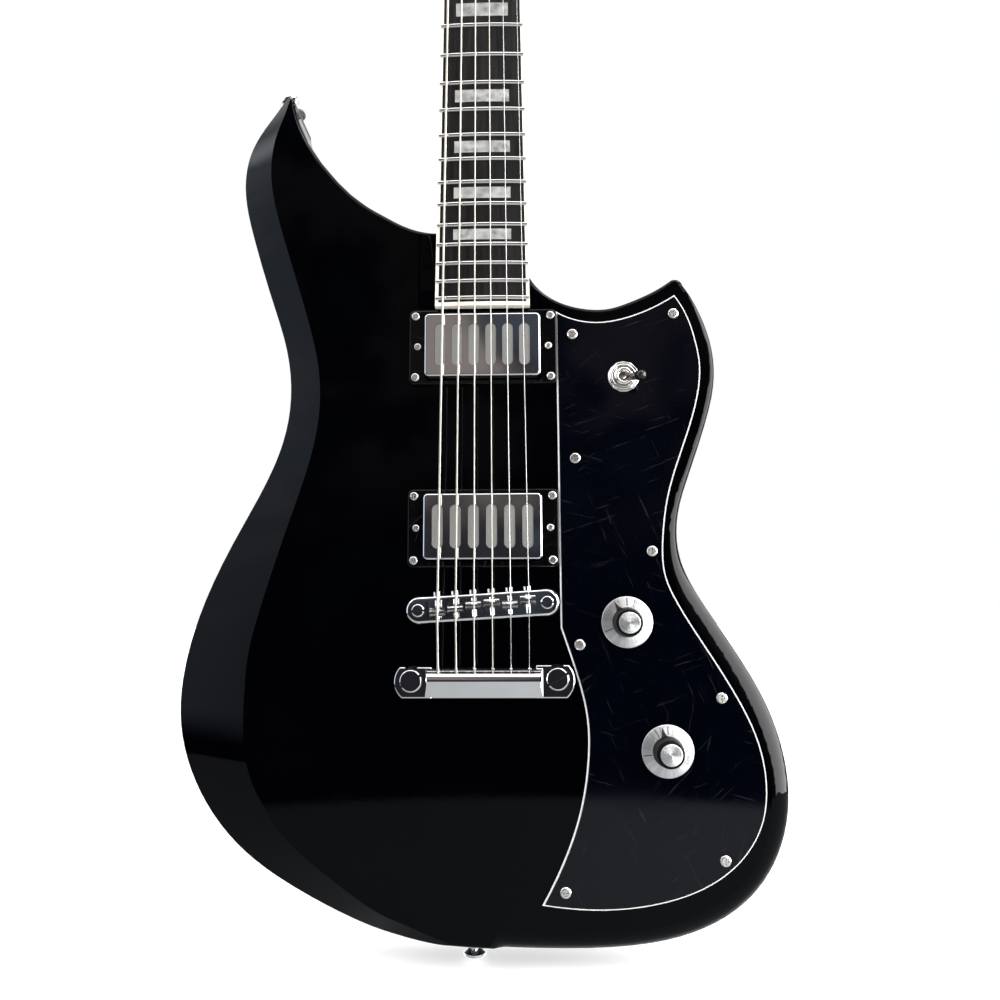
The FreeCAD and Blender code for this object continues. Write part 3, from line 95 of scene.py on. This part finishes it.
# ------------------------------------------------------------------ node helpers
class Shader:
    """A new material with a Principled surface and short calls for its nodes."""

    def __init__(self, name, **sockets):
        self.material = bpy.data.materials.new(name)
        self.material.use_nodes = True
        self.tree = self.material.node_tree
        self.tree.nodes.clear()
        self.surface = self.add("ShaderNodeBsdfPrincipled")
        out = self.add("ShaderNodeOutputMaterial")
        self.link(self.surface.outputs[0], out.inputs["Surface"])
        for socket, value in sockets.items():
            self.surface.inputs[socket.replace("_", " ")].default_value = value

    def add(self, kind, inputs=None, **settings):
        node = self.tree.nodes.new(kind)
        for name, value in settings.items():
            setattr(node, name, value)
        for name, value in (inputs or {}).items():
            if isinstance(value, bpy.types.NodeSocket):
                self.link(value, node.inputs[name])
            else:
                node.inputs[name].default_value = value
        return node

    def link(self, start, end):
        self.tree.links.new(start, end)

    def coords(self, scale=(1, 1, 1), turn=(0, 0, 0), shift=(0, 0, 0)):
        source = self.add("ShaderNodeTexCoord")
        mapped = self.add("ShaderNodeMapping", {"Vector": source.outputs["Object"], "Scale": scale,
                                                "Rotation": turn, "Location": shift})
        return mapped.outputs[0]

    def streaks(self, turn, length, shift):
        """Coordinates turned in the plane of the face, then drawn out along one side."""
        turned = self.coords(turn=(0, turn, 0), shift=shift)
        drawn = self.add("ShaderNodeMapping", {"Vector": turned, "Scale": (1, 1, 1 / length)})
        return drawn.outputs[0]

    def noise(self, vector, scale, detail=4.0, roughness=0.55, distortion=0.0):
        node = self.add("ShaderNodeTexNoise", {"Vector": vector, "Scale": scale, "Detail": detail,
                                               "Roughness": roughness, "Distortion": distortion})
        return node.outputs["Fac"]

    def ramp(self, value, low, high, start=0.0, end=1.0):
        node = self.add("ShaderNodeMapRange", {"Value": value, "From Min": start, "From Max": end,
                                               "To Min": low, "To Max": high})
        return node.outputs["Result"]

    def colours(self, value, *stops):
        node = self.add("ShaderNodeValToRGB", {"Fac": value})
        ramp = node.color_ramp
        ramp.elements[0].position, ramp.elements[0].color = stops[0][0], (*stops[0][1], 1)
        ramp.elements[1].position, ramp.elements[1].color = stops[-1][0], (*stops[-1][1], 1)
        for place, colour in stops[1:-1]:
            ramp.elements.new(place).color = (*colour, 1)
        return node.outputs["Color"]

    def maths(self, operation, a, b=None):
        node = self.add("ShaderNodeMath", operation=operation)
        for slot, value in enumerate((a, b)):
            if isinstance(value, bpy.types.NodeSocket):
                self.link(value, node.inputs[slot])
            elif value is not None:
                node.inputs[slot].default_value = value
        return node.outputs[0]

    def bump(self, height, strength, distance):
        node = self.add("ShaderNodeBump", {"Height": height, "Strength": strength,
                                           "Distance": distance})
        self.link(node.outputs[0], self.surface.inputs["Normal"])

    def feed(self, socket, value):
        self.link(value, self.surface.inputs[socket])


def lacquer(name, colour, low=0.02, high=0.05, level=0.5):
    """Deep gloss lacquer: faint orange peel and a trace of polishing haze."""
    s = Shader(name, IOR=1.5, Specular_IOR_Level=level)
    peel = s.noise(s.coords(), 240.0, 2.0)
    haze = s.noise(s.coords(), 22.0, 5.0, 0.6)
    s.feed("Base Color", s.colours(haze, (0.3, colour), (0.75, [c * 1.5 + 0.0001 for c in colour])))
    s.feed("Roughness", s.ramp(haze, low, high, 0.35, 0.7))
    s.bump(peel, 0.012, 0.0004)
    return s.material


def scratched_gloss(name, colour, level=0.3):
    """Polished plastic with hairline scratches in many directions."""
    s = Shader(name, IOR=1.5, Specular_IOR_Level=level)
    lines = None
    for turn, scale, seed in ((0.4, 520, 0.0), (1.3, 440, 3.1), (2.3, 600, 5.7), (2.9, 400, 9.2),
                             (1.9, 480, 12.4)):
        across = s.streaks(turn, 18, (seed, 0, seed))
        fine = s.noise(across, scale, 3.0, 0.7)
        mask = s.noise(s.coords(shift=(seed, seed, 0)), 16.0, 2.0)
        line = s.ramp(fine, 0.0, 1.0, 0.64, 0.71)
        line = s.maths("MULTIPLY", line, s.ramp(mask, 0.0, 1.0, 0.47, 0.58))
        lines = line if lines is None else s.maths("MAXIMUM", lines, line)
    haze = s.noise(s.coords(), 14.0, 5.0, 0.6)
    s.feed("Base Color", s.colours(lines, (0.0, colour), (1.0, [c * 2 + 0.008 for c in colour])))
    rough = s.maths("ADD", s.ramp(haze, 0.03, 0.085, 0.3, 0.7), s.maths("MULTIPLY", lines, 0.1))
    s.feed("Roughness", rough)
    s.bump(lines, 0.025, 0.0001)
    return s.material


def moulded(name, colour, rough=0.35, grain=900.0, strength=0.08, level=0.5):
    """Moulded plastic or paint with fine texture and slight tone drift."""
    s = Shader(name, Specular_IOR_Level=level)
    fine = s.noise(s.coords(), grain, 3.0)
    broad = s.noise(s.coords(), 40.0, 4.0)
    s.feed("Base Color", s.colours(broad, (0.3, [c * 0.86 for c in colour]), (0.7, colour)))
    s.feed("Roughness", s.ramp(broad, rough * 0.8, rough * 1.2, 0.3, 0.7))
    s.bump(fine, strength, 0.0001)
    return s.material


def metal(name, colour, low=0.03, high=0.09, grain=(1, 1, 1), scratch=0.02, tint=0.94):
    """Plated or polished metal with smudges and fine scratches along its grain."""
    s = Shader(name, Metallic=1.0)
    smudge = s.noise(s.coords(), 70.0, 5.0, 0.6)
    fine = s.noise(s.coords(grain), 1400.0, 3.0, 0.7)
    s.feed("Base Color", s.colours(smudge, (0.3, [c * tint for c in colour]), (0.7, colour)))
    rough = s.maths("ADD", s.ramp(smudge, low, high, 0.35, 0.75), s.ramp(fine, 0.0, 0.03, 0.4, 0.8))
    s.feed("Roughness", rough)
    s.bump(fine, scratch, 0.00008)
    return s.material


def ebony():
    """Near-black board with fine pores and streaks along the neck."""
    s = Shader("ebony_board", IOR=1.5, Specular_IOR_Level=0.25)
    streak = s.noise(s.coords((1, 1, 0.05)), 420.0, 6.0, 0.65)
    broad = s.noise(s.coords((1, 1, 0.12)), 60.0, 4.0, 0.6, 0.6)
    pores = s.noise(s.coords((1, 1, 0.09)), 1500.0, 2.0, 0.5)
    mixed = s.maths("ADD", s.maths("MULTIPLY", streak, 0.6), s.maths("MULTIPLY", broad, 0.4))
    s.feed("Base Color", s.colours(mixed, (0.36, (0.002, 0.002, 0.002)), (0.52, (0.006, 0.005, 0.005)),
                                   (0.68, (0.014, 0.012, 0.012))))
    s.feed("Roughness", s.ramp(streak, 0.32, 0.5, 0.35, 0.7))
    s.bump(s.maths("ADD", pores, s.maths("MULTIPLY", streak, 0.5)), 0.25, 0.00012)
    return s.material


def pearloid():
    """Marbled grey-white plastic with pearly flakes."""
    s = Shader("pearloid_block", Roughness=0.16, Coat_Weight=0.4, Coat_Roughness=0.06)
    swirl = s.add("ShaderNodeTexVoronoi", {"Vector": s.coords((1, 1, 1.3)), "Scale": 210.0,
                                           "Randomness": 1.0}, feature="SMOOTH_F1")
    cloud = s.noise(s.coords(), 130.0, 5.0, 0.6, 1.2)
    mixed = s.maths("ADD", s.maths("MULTIPLY", swirl.outputs["Distance"], 0.5),
                    s.maths("MULTIPLY", cloud, 0.7))
    s.feed("Base Color", s.colours(mixed, (0.32, (0.13, 0.135, 0.13)), (0.5, (0.24, 0.245, 0.235)),
                                   (0.72, (0.36, 0.365, 0.35))))
    return s.material


def wound():
    """Nickel-wound string: fine turns along its length."""
    s = Shader("wound_nickel", Metallic=1.0, Roughness=0.3)
    turns = s.add("ShaderNodeTexWave", {"Vector": s.coords(), "Scale": 640.0, "Distortion": 0.0},
                  bands_direction="Z", wave_profile="SIN")
    worn = s.noise(s.coords((1, 1, 0.2)), 60.0, 4.0)
    s.feed("Base Color", s.colours(worn, (0.3, (0.50, 0.46, 0.40)), (0.7, (0.72, 0.68, 0.61))))
    s.bump(turns.outputs["Fac"], 0.6, 0.00012)
    return s.material


def felt():
    s = Shader("black_felt", Roughness=0.95, Sheen_Weight=0.5, Sheen_Roughness=0.6)
    fuzz = s.noise(s.coords(), 1600.0, 5.0, 0.8)
    s.feed("Base Color", s.colours(fuzz, (0.3, (0.006, 0.006, 0.006)), (0.75, (0.045, 0.045, 0.045))))
    s.bump(fuzz, 0.7, 0.0005)
    return s.material


MATERIALS = {
    "body_lacquer": lacquer("body_lacquer_black", (0.0001, 0.00015, 0.0004), level=0.12),
    "neck_lacquer": lacquer("neck_lacquer_black", (0.002, 0.002, 0.0025), 0.06, 0.14, 0.3),
    "ebony": ebony(),
    "cream_binding": moulded("cream_binding", (0.74, 0.71, 0.62), 0.22, 700.0, 0.04),
    "pearloid": pearloid(),
    "fret_wire": metal("nickel_silver", (0.80, 0.79, 0.76), 0.12, 0.22, (0.2, 1, 1)),
    "nut_bone": moulded("bone_nut", (0.78, 0.75, 0.66), 0.3, 900.0, 0.05),
    "chrome": metal("mirror_chrome", (0.86, 0.86, 0.88)),
    "rod_steel": metal("plain_steel", (0.42, 0.42, 0.43), 0.25, 0.4),
    "string_nickel": wound(),
    "string_steel": metal("plain_string", (0.74, 0.73, 0.71), 0.12, 0.22, (1, 1, 0.1)),
    "guard_black": scratched_gloss("guard_black", (0.0001, 0.0004, 0.0016)),
    "guard_white": moulded("guard_white_ply", (0.82, 0.82, 0.81), 0.3, 700.0, 0.03),
    "ring_black": scratched_gloss("ring_black", (0.0010, 0.0010, 0.0013), 0.2),
    "coil_grey": moulded("coil_grey", (0.165, 0.164, 0.155), 0.55, 1100.0, 0.12, 0.3),
    "knob_black": moulded("knob_black", (0.002, 0.002, 0.002), 0.26, 900.0, 0.05, 0.12),
    "knob_metal": metal("spun_aluminium", (0.80, 0.80, 0.81), 0.2, 0.3),
    "pot_steel": metal("zinc_steel", (0.55, 0.55, 0.56), 0.25, 0.4),
    "lever_black": moulded("lever_black", (0.005, 0.005, 0.005), 0.12, 900.0, 0.02),
    "felt_black": felt(),
    "wire_insulation": moulded("wire_sleeve", (0.03, 0.03, 0.03), 0.5, 900.0, 0.05),
    "bright_nickel": metal("bright_nickel", (0.90, 0.88, 0.83), 0.05, 0.12),
    "screw_nickel": metal("screw_nickel", (0.95, 0.93, 0.88), 0.22, 0.34),
    "saddle_nickel": metal("satin_nickel", (0.90, 0.88, 0.84), 0.14, 0.24),
    "mark_black": moulded("mark_black", (0.012, 0.011, 0.011), 0.45, 900.0, 0.03),
}
NODE_FINISHES = {"ring_screws": "screw_nickel", "cover_screws": "screw_nickel",
                 "saddle_screws": "chrome",
                 **{f"saddle_{i}": "saddle_nickel" for i in range(1, 7)}}


def dress_nodes():
    """Give every CAD node the procedural material of its slot."""
    for part in frame["record"]["subparts"]:
        node = NODES[part["node"]]
        node.data.materials.clear()
        finish = NODE_FINISHES.get(part["node"], part["material_slot"])
        node.data.materials.append(MATERIALS[finish])


# ------------------------------------------------------------------ pieces built in mesh code
def at(x, z, h):
    """Point in metres from millimetres: right, up, and height in front of the body's face."""
    return Vector((x / 1000, FRONT_Y - h / 1000, z / 1000))


def piece(name, points, faces, material, slot, body, centre, replaces=(), crease=35):
    """Object whose origin is its own centre, so that turned grain can run round it."""
    mesh = bpy.data.meshes.new(name)
    mesh.from_pydata([p - centre for p in points], [], faces)
    work = bmesh.new()
    work.from_mesh(mesh)
    bmesh.ops.recalc_face_normals(work, faces=work.faces)
    work.to_mesh(mesh)
    work.free()
    mesh.shade_smooth()
    mesh.set_sharp_from_angle(angle=math.radians(crease))
    mesh.materials.append(material)
    obj = bpy.data.objects.new(name, mesh)
    bpy.context.scene.collection.objects.link(obj)
    obj.location = centre
    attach(obj, body)
    if replaces:
        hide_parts(*replaces)
    return obj


def lathe(x, z, profile, steps=128, wave=None, turn=None):
    """Points and faces turned about an axis square to the front. Profile rows: radius, height."""
    points, faces = [], []
    for k in range(steps):
        angle = 2 * math.pi * k / steps
        for row, (radius, height) in enumerate(profile):
            r = radius + (wave(row, angle) if wave else 0.0)
            points.append(at(x + r * math.cos(angle), z + r * math.sin(angle), height))
    if turn:
        points = [turn(p) for p in points]
    rows = len(profile)
    for k in range(steps):
        here, there = k * rows, (k + 1) % steps * rows
        for row in range(rows - 1):
            faces.append((here + row, there + row, there + row + 1, here + row + 1))
    faces.append([k * rows + rows - 1 for k in range(steps)])
    faces.append([k * rows for k in range(steps)])
    return points, faces


def spun(name, bright, dark, low, high, spokes=5.0, rings=900.0):
    """Aluminium turned on a lathe: anisotropic highlights fan out from the middle of the piece, and the
    colour adds painted highlight and painted shade in wedges round it.
    """
    s = Shader(name, Metallic=1.0, Anisotropic=0.86, Anisotropic_Rotation=0.0)
    s.feed("Tangent", s.add("ShaderNodeTangent", direction_type="RADIAL", axis="Y").outputs[0])
    source = s.add("ShaderNodeTexCoord").outputs["Object"]
    flat = s.add("ShaderNodeVectorMath", {0: source, 1: (1.0, 0.0, 1.0)}, operation="MULTIPLY")
    around = s.add("ShaderNodeVectorMath", {0: flat.outputs[0]}, operation="NORMALIZE")
    # Painted highlight: the base colour runs from the dark to the bright tone in random wedges round
    # the axis, standing in for the fanned highlights of the turned metal.
    painted_highlight_wedge = s.noise(around.outputs[0], spokes, 5.0, 0.65)
    distance = s.add("ShaderNodeVectorMath", {0: flat.outputs[0]}, operation="LENGTH")
    grooves = s.add("ShaderNodeTexNoise", {"W": distance.outputs["Value"], "Scale": rings * 8,
                                           "Detail": 3.0}, noise_dimensions="1D")
    s.feed("Base Color", s.colours(painted_highlight_wedge, (0.36, dark), (0.56, bright)))
    s.feed("Roughness", s.ramp(grooves.outputs["Fac"], low, high, 0.3, 0.7))
    s.bump(grooves.outputs["Fac"], 0.05, 0.00005)
    return s.material


def make_knob(body, x, z, pointer, ticks):
    """Skirted control: pale turned skirt and cap, black fluted drum, pointer and scale marks."""
    foot = GUARD_TOP + SKIRT_RISE
    skirt = [(8.0, foot + 0.1), (14.3, foot + 0.1), (14.8, foot + 0.4), (14.8, foot + 0.8),
             (14.45, foot + 1.1), (SKIRT_EDGE_R, foot + SKIRT_EDGE_H), (11.5, foot + 1.62),
             (9.2, foot + 2.08), (8.0, foot + 2.1)]
    centre = at(x, z, foot)
    piece(body + "_skirt", *lathe(x, z, skirt, 160), SPUN_SKIRT, "knob_metal", body, centre,
          (body + "_knob_skirt",), 50)

    def flute(row, angle):
        return FLUTE_DEPTH * math.cos(FLUTES * angle) if 1 <= row <= 4 else 0.0

    drum = [(8.0, foot + 1.6), (8.7, foot + 1.7), (8.55, foot + 2.6), (7.75, foot + 10.4),
            (7.45, foot + 11.4), (7.1, foot + 12.1), (6.7, foot + 12.35), (6.35, foot + 12.2),
            (6.25, foot + 11.7), (5.0, foot + 11.6)]
    piece(body + "_drum", *lathe(x, z, drum, FLUTES * 6, flute), MATERIALS["knob_black"], "knob_black",
          body, centre, (body + "_knob",), 60)
    cap = [(6.0, foot + 11.7), (6.1, foot + 11.9), (6.1, foot + 12.5), (5.85, foot + 12.72),
           (5.6, foot + 12.74), (0.05, foot + 12.9)]
    piece(body + "_cap", *lathe(x, z, cap, 128), SPUN_CAP, "knob_metal", body, centre, (), 50)

    points, faces = [], []

    def mark(angle, rows, lift, thick):
        """Tapering raised mark from the middle outwards; rows are radius and half width."""
        turn = math.radians(90 + angle)
        out = (math.cos(turn), math.sin(turn))
        first = len(points)
        for radius, half in rows:
            top = foot + SKIRT_EDGE_H + (SKIRT_EDGE_R - radius) * SKIRT_SLOPE + lift
            for side, height in ((-1, top - thick), (-1, top), (1, top), (1, top - thick)):
                points.append(at(x + out[0] * radius - out[1] * half * side,
                                 z + out[1] * radius + out[0] * half * side, height))
        for row in range(len(rows) - 1):
            a = first + 4 * row
            for i in range(4):
                j = (i + 1) % 4
                faces.append((a + i, a + j, a + 4 + j, a + 4 + i))
        faces.append([first + i for i in range(4)])
        faces.append([first + 4 * (len(rows) - 1) + i for i in range(4)])

    mark(pointer, ((8.2, 2.1), (9.2, 1.35), (10.2, 0.85), (11.4, 0.55), (12.7, 0.33), (13.7, 0.10)),
         0.3, 0.5)
    for angle, half in ticks:
        mark(angle, ((9.3, half), (13.9, half)), 0.035, 0.12)
    piece(body + "_marks", points, faces, MATERIALS["mark_black"], "knob_black", body, centre)


def make_switch():
    """Ringed washer and domed nut, and a black tip on a steel stem."""
    x, z = SWITCH_AT
    top = GUARD_TOP

    def ripple(row, angle):
        return 0.09 * math.sin(13 * angle) + 0.06 * math.sin(7 * angle + 1) if row < 3 else 0.0

    washer = [(9.0, top), (9.45, top + 0.25), (9.3, top + 0.8), (8.9, top + 1.15), (8.5, top + 1.15),
              (8.25, top + 0.75), (8.05, top + 0.7), (7.8, top + 1.2), (7.3, top + 1.5),
              (6.6, top + 1.5), (6.25, top + 1.1), (5.95, top + 1.0), (5.75, top + 1.7),
              (5.5, top + 2.6), (5.0, top + 3.4), (4.3, top + 3.75), (3.7, top + 3.6),
              (3.3, top + 3.0), (3.15, top + 1.8), (3.1, top - 0.6), (2.9, top - 0.8)]
    piece("switch_nut", *lathe(x, z, washer, 156, ripple), MATERIALS["bright_nickel"], "chrome",
          "guitar", at(x, z, top), ("switch_housing",), 60)
    pivot = at(x, z, PIVOT_H)
    heading = math.radians(LEVER_HEADING)
    axis = Vector((-math.sin(heading), 0, math.cos(heading)))
    lean = Matrix.Rotation(math.radians(LEVER_LEAN), 3, axis)

    def turn(point):
        return pivot + lean @ (point - pivot)

    tip = [(0.9, 5.0), (1.5, 5.2), (1.7, 6.2), (2.0, 9.5), (2.45, 13.5), (2.9, 17.6), (3.05, 19.2),
           (2.95, 20.3), (2.6, 21.4), (2.0, 22.1), (1.2, 22.5), (0.4, 22.6)]
    piece("switch_tip", *lathe(x, z, tip, 64, turn=turn), MATERIALS["lever_black"], "lever_black",
          "switch", turn(at(x, z, 14)), ("switch_lever",), 60)
    stem = [(0.3, -3.8), (1.6, -3.4), (2.6, -2.2), (2.9, -1.0), (2.7, 0.2), (2.1, 1.2), (1.5, 1.9),
            (1.35, 3.0), (1.35, 5.4), (0.4, 5.4)]
    piece("switch_stem", *lathe(x, z, stem, 64, turn=turn), MATERIALS["bright_nickel"], "chrome",
          "switch", turn(at(x, z, 1)), (), 60)


# ------------------------------------------------------------------ stage, light and camera
def make_world():
    """White studio. Mirrors see a dark front, a pale table below it and panels at the sides."""
    world = bpy.data.worlds.new("studio")
    bpy.context.scene.world = world
    world.use_nodes = True
    tree = world.node_tree
    tree.nodes.clear()

    def new(kind, inputs=None, **settings):
        node = tree.nodes.new(kind)
        for name, value in settings.items():
            setattr(node, name, value)
        for name, value in (inputs or {}).items():
            if isinstance(value, bpy.types.NodeSocket):
                tree.links.new(value, node.inputs[name])
            else:
                node.inputs[name].default_value = value
        return node

    def rise(source, start, end):
        """Share that climbs smoothly from 0 at start to 1 at end, either way round."""
        node = new("ShaderNodeMapRange", {"Value": source, "From Min": start, "From Max": end},
                   interpolation_type="SMOOTHSTEP")
        return node.outputs["Result"]

    def product(*shares):
        result = shares[0]
        for share in shares[1:]:
            result = new("ShaderNodeMath", {0: result, 1: share}, operation="MULTIPLY").outputs[0]
        return result

    def panel(share, colour, strength):
        scale = new("ShaderNodeVectorMath", {0: [c * strength for c in colour]}, operation="SCALE")
        tree.links.new(share, scale.inputs["Scale"])
        return scale.outputs[0]

    direction = new("ShaderNodeTexCoord")
    split = new("ShaderNodeSeparateXYZ", {0: direction.outputs["Generated"]})
    x, y, z = split.outputs
    front = rise(y, 0.25, -0.1)
    above = rise(z, HORIZON - HORIZON_BLUR, HORIZON + HORIZON_BLUR)
    left_edge = rise(x, -0.30, -0.45)
    near_table = rise(z, HORIZON, HORIZON - 3 * HORIZON_BLUR)
    left_table = rise(z, HORIZON - LEFT_TABLE_DROP, HORIZON - LEFT_TABLE_DROP - 0.005)
    table = new("ShaderNodeMix", {0: left_edge, 2: near_table, 3: left_table}).outputs[0]
    drift = new("ShaderNodeTexNoise", {"Vector": direction.outputs["Generated"], "Scale": 7.5,
                                       "Detail": 3.0}).outputs["Fac"]
    blotch = rise(drift, 0.42, 0.58)
    gap = rise(drift, 0.46, 0.36)
    lights = [
        panel(product(table, rise(x, -0.35, 0.45)), (0.97, 0.99, 1.0), 0.25),
        panel(table, (0.94, 0.98, 1.0), 0.5),
        panel(product(front, rise(z, 0.03, 0.22), blotch), (1.0, 0.87, 0.80), 0.22),
        panel(product(front, rise(z, -0.10, 0.05), gap), (0.55, 0.75, 1.0), 0.06),
        panel(product(front, above), (0.9, 0.85, 1.0), 0.02),
        panel(product(front, above, rise(x, 0.36, 0.38), rise(x, 0.52, 0.50)),
              (1.0, 1.0, 1.0), 7.0),
        panel(product(front, rise(x, -0.52, -0.60), rise(z, 0.50, 0.60)), (1.0, 1.0, 1.0), 2.4),
        panel(product(above, rise(x, -0.60, -0.86), rise(z, -0.24, -0.12)),
              (0.80, 0.92, 1.10), 1.15),
        panel(product(above, rise(x, 0.75, 0.80), rise(y, 0.25, 0.15)), (1.0, 1.0, 1.0), 11.0),
        panel(product(above, rise(x, 0.22, 0.6), front), (0.75, 0.88, 1.0), 0.12),
        panel(rise(y, 0.05, 0.5), (1, 1, 1), 1.0),
        panel(product(front, rise(z, 0.72, 0.85)), (1, 1, 1), 2.6),
    ]
    seen = lights[0]
    for light in lights[1:]:
        seen = new("ShaderNodeVectorMath", {0: seen, 1: light}, operation="ADD").outputs[0]
    glossy = new("ShaderNodeBackground", {"Color": seen})
    soft = new("ShaderNodeBackground", {"Color": (1, 1, 1, 1), "Strength": SOFT_LIGHT})
    white = new("ShaderNodeBackground", {"Color": (1, 1, 1, 1), "Strength": 1.0})
    path = new("ShaderNodeLightPath")
    spread = new("ShaderNodeMixShader", {0: path.outputs["Is Diffuse Ray"], 1: glossy.outputs[0],
                                         2: soft.outputs[0]})
    mix = new("ShaderNodeMixShader", {0: path.outputs["Is Camera Ray"], 1: spread.outputs[0],
                                      2: white.outputs[0]})
    out = new("ShaderNodeOutputWorld")
    tree.links.new(mix.outputs[0], out.inputs["Surface"])


def area_light(name, place, aim, width, height, power):
    """Soft rectangular lamp that mirrors and the camera do not see."""
    data = bpy.data.lights.new(name, "AREA")
    data.shape = "RECTANGLE"
    data.size, data.size_y, data.energy = width, height, power
    light = bpy.data.objects.new(name, data)
    bpy.context.scene.collection.objects.link(light)
    light.location = place
    light.rotation_euler = (Vector(aim) - Vector(place)).to_track_quat("-Z", "Y").to_euler()
    light.visible_camera = False
    light.visible_glossy = False


def make_lights():
    area_light("key_left", (-1.3, -1.3, 1.2), (0, 0, 0.1), 0.9, 1.2, 16.0)
    area_light("fill_right", (1.6, -0.9, 0.6), (0, 0, 0.0), 0.7, 1.4, 8.0)


def make_floor():
    """Plain pale floor just under the lowest point."""
    mesh = bpy.data.meshes.new("floor")
    signs = ((-1, -1), (1, -1), (1, 1), (-1, 1))
    corners = [(sx * FLOOR_HALF, sy * FLOOR_HALF, 0) for sx, sy in signs]
    mesh.from_pydata(corners, [], [(0, 1, 2, 3)])
    floor = bpy.data.objects.new("floor", mesh)
    bpy.context.scene.collection.objects.link(floor)
    floor.location = (0, 0, CAD_BOX[0].z - FLOOR_GAP)
    s = Shader("pale_floor", Roughness=0.8, Specular_IOR_Level=0.1, Emission_Strength=FLOOR_GLOW)
    s.surface.inputs["Emission Color"].default_value = (1, 1, 1, 1)
    s.feed("Base Color", s.colours(s.noise(s.coords(), 3.0), (0.3, (0.90, 0.90, 0.90)),
                                   (0.7, (0.93, 0.93, 0.93))))
    mesh.materials.append(s.material)
    floor.visible_glossy = False


def make_camera():
    """Close, nearly square-on view of the body, a little right of the centre line."""
    data = bpy.data.cameras.new("camera")
    data.sensor_width = SENSOR_WIDTH
    data.lens = LENS
    data.clip_start = 0.01
    data.clip_end = 50.0
    camera = bpy.data.objects.new("camera", data)
    bpy.context.scene.collection.objects.link(camera)
    pitch, yaw, roll = (math.radians(a) for a in CAMERA_TURN)
    turn = Matrix.Rotation(roll, 3, "Z") @ Matrix.Rotation(pitch, 3, "X") @ Matrix.Rotation(yaw, 3, "Y")
    sight = turn.transposed()
    to_row = Matrix(((1, 0, 0), (0, 0, -1), (0, 1, 0)))
    camera.matrix_world = Matrix.Translation(CAMERA_PLACE) @ (to_row @ sight).to_4x4()
    bpy.context.scene.camera = camera


bpy.context.scene.view_settings.view_transform = "Standard"
# The bright and dark tones of each spun finish are the painted highlight and painted shade of its
# wedges.
SPUN_SKIRT = spun("spun_skirt", (0.90, 0.90, 0.89), (0.66, 0.66, 0.67), 0.26, 0.36)
SPUN_CAP = spun("spun_cap", (0.94, 0.94, 0.93), (0.72, 0.71, 0.70), 0.26, 0.36, 4.0)
dress_nodes()
for knob, (knob_x, knob_z) in KNOBS.items():
    make_knob(knob, knob_x, knob_z, POINTERS[knob], TICKS[knob])
make_switch()
make_world()
make_lights()
make_floor()
make_camera()
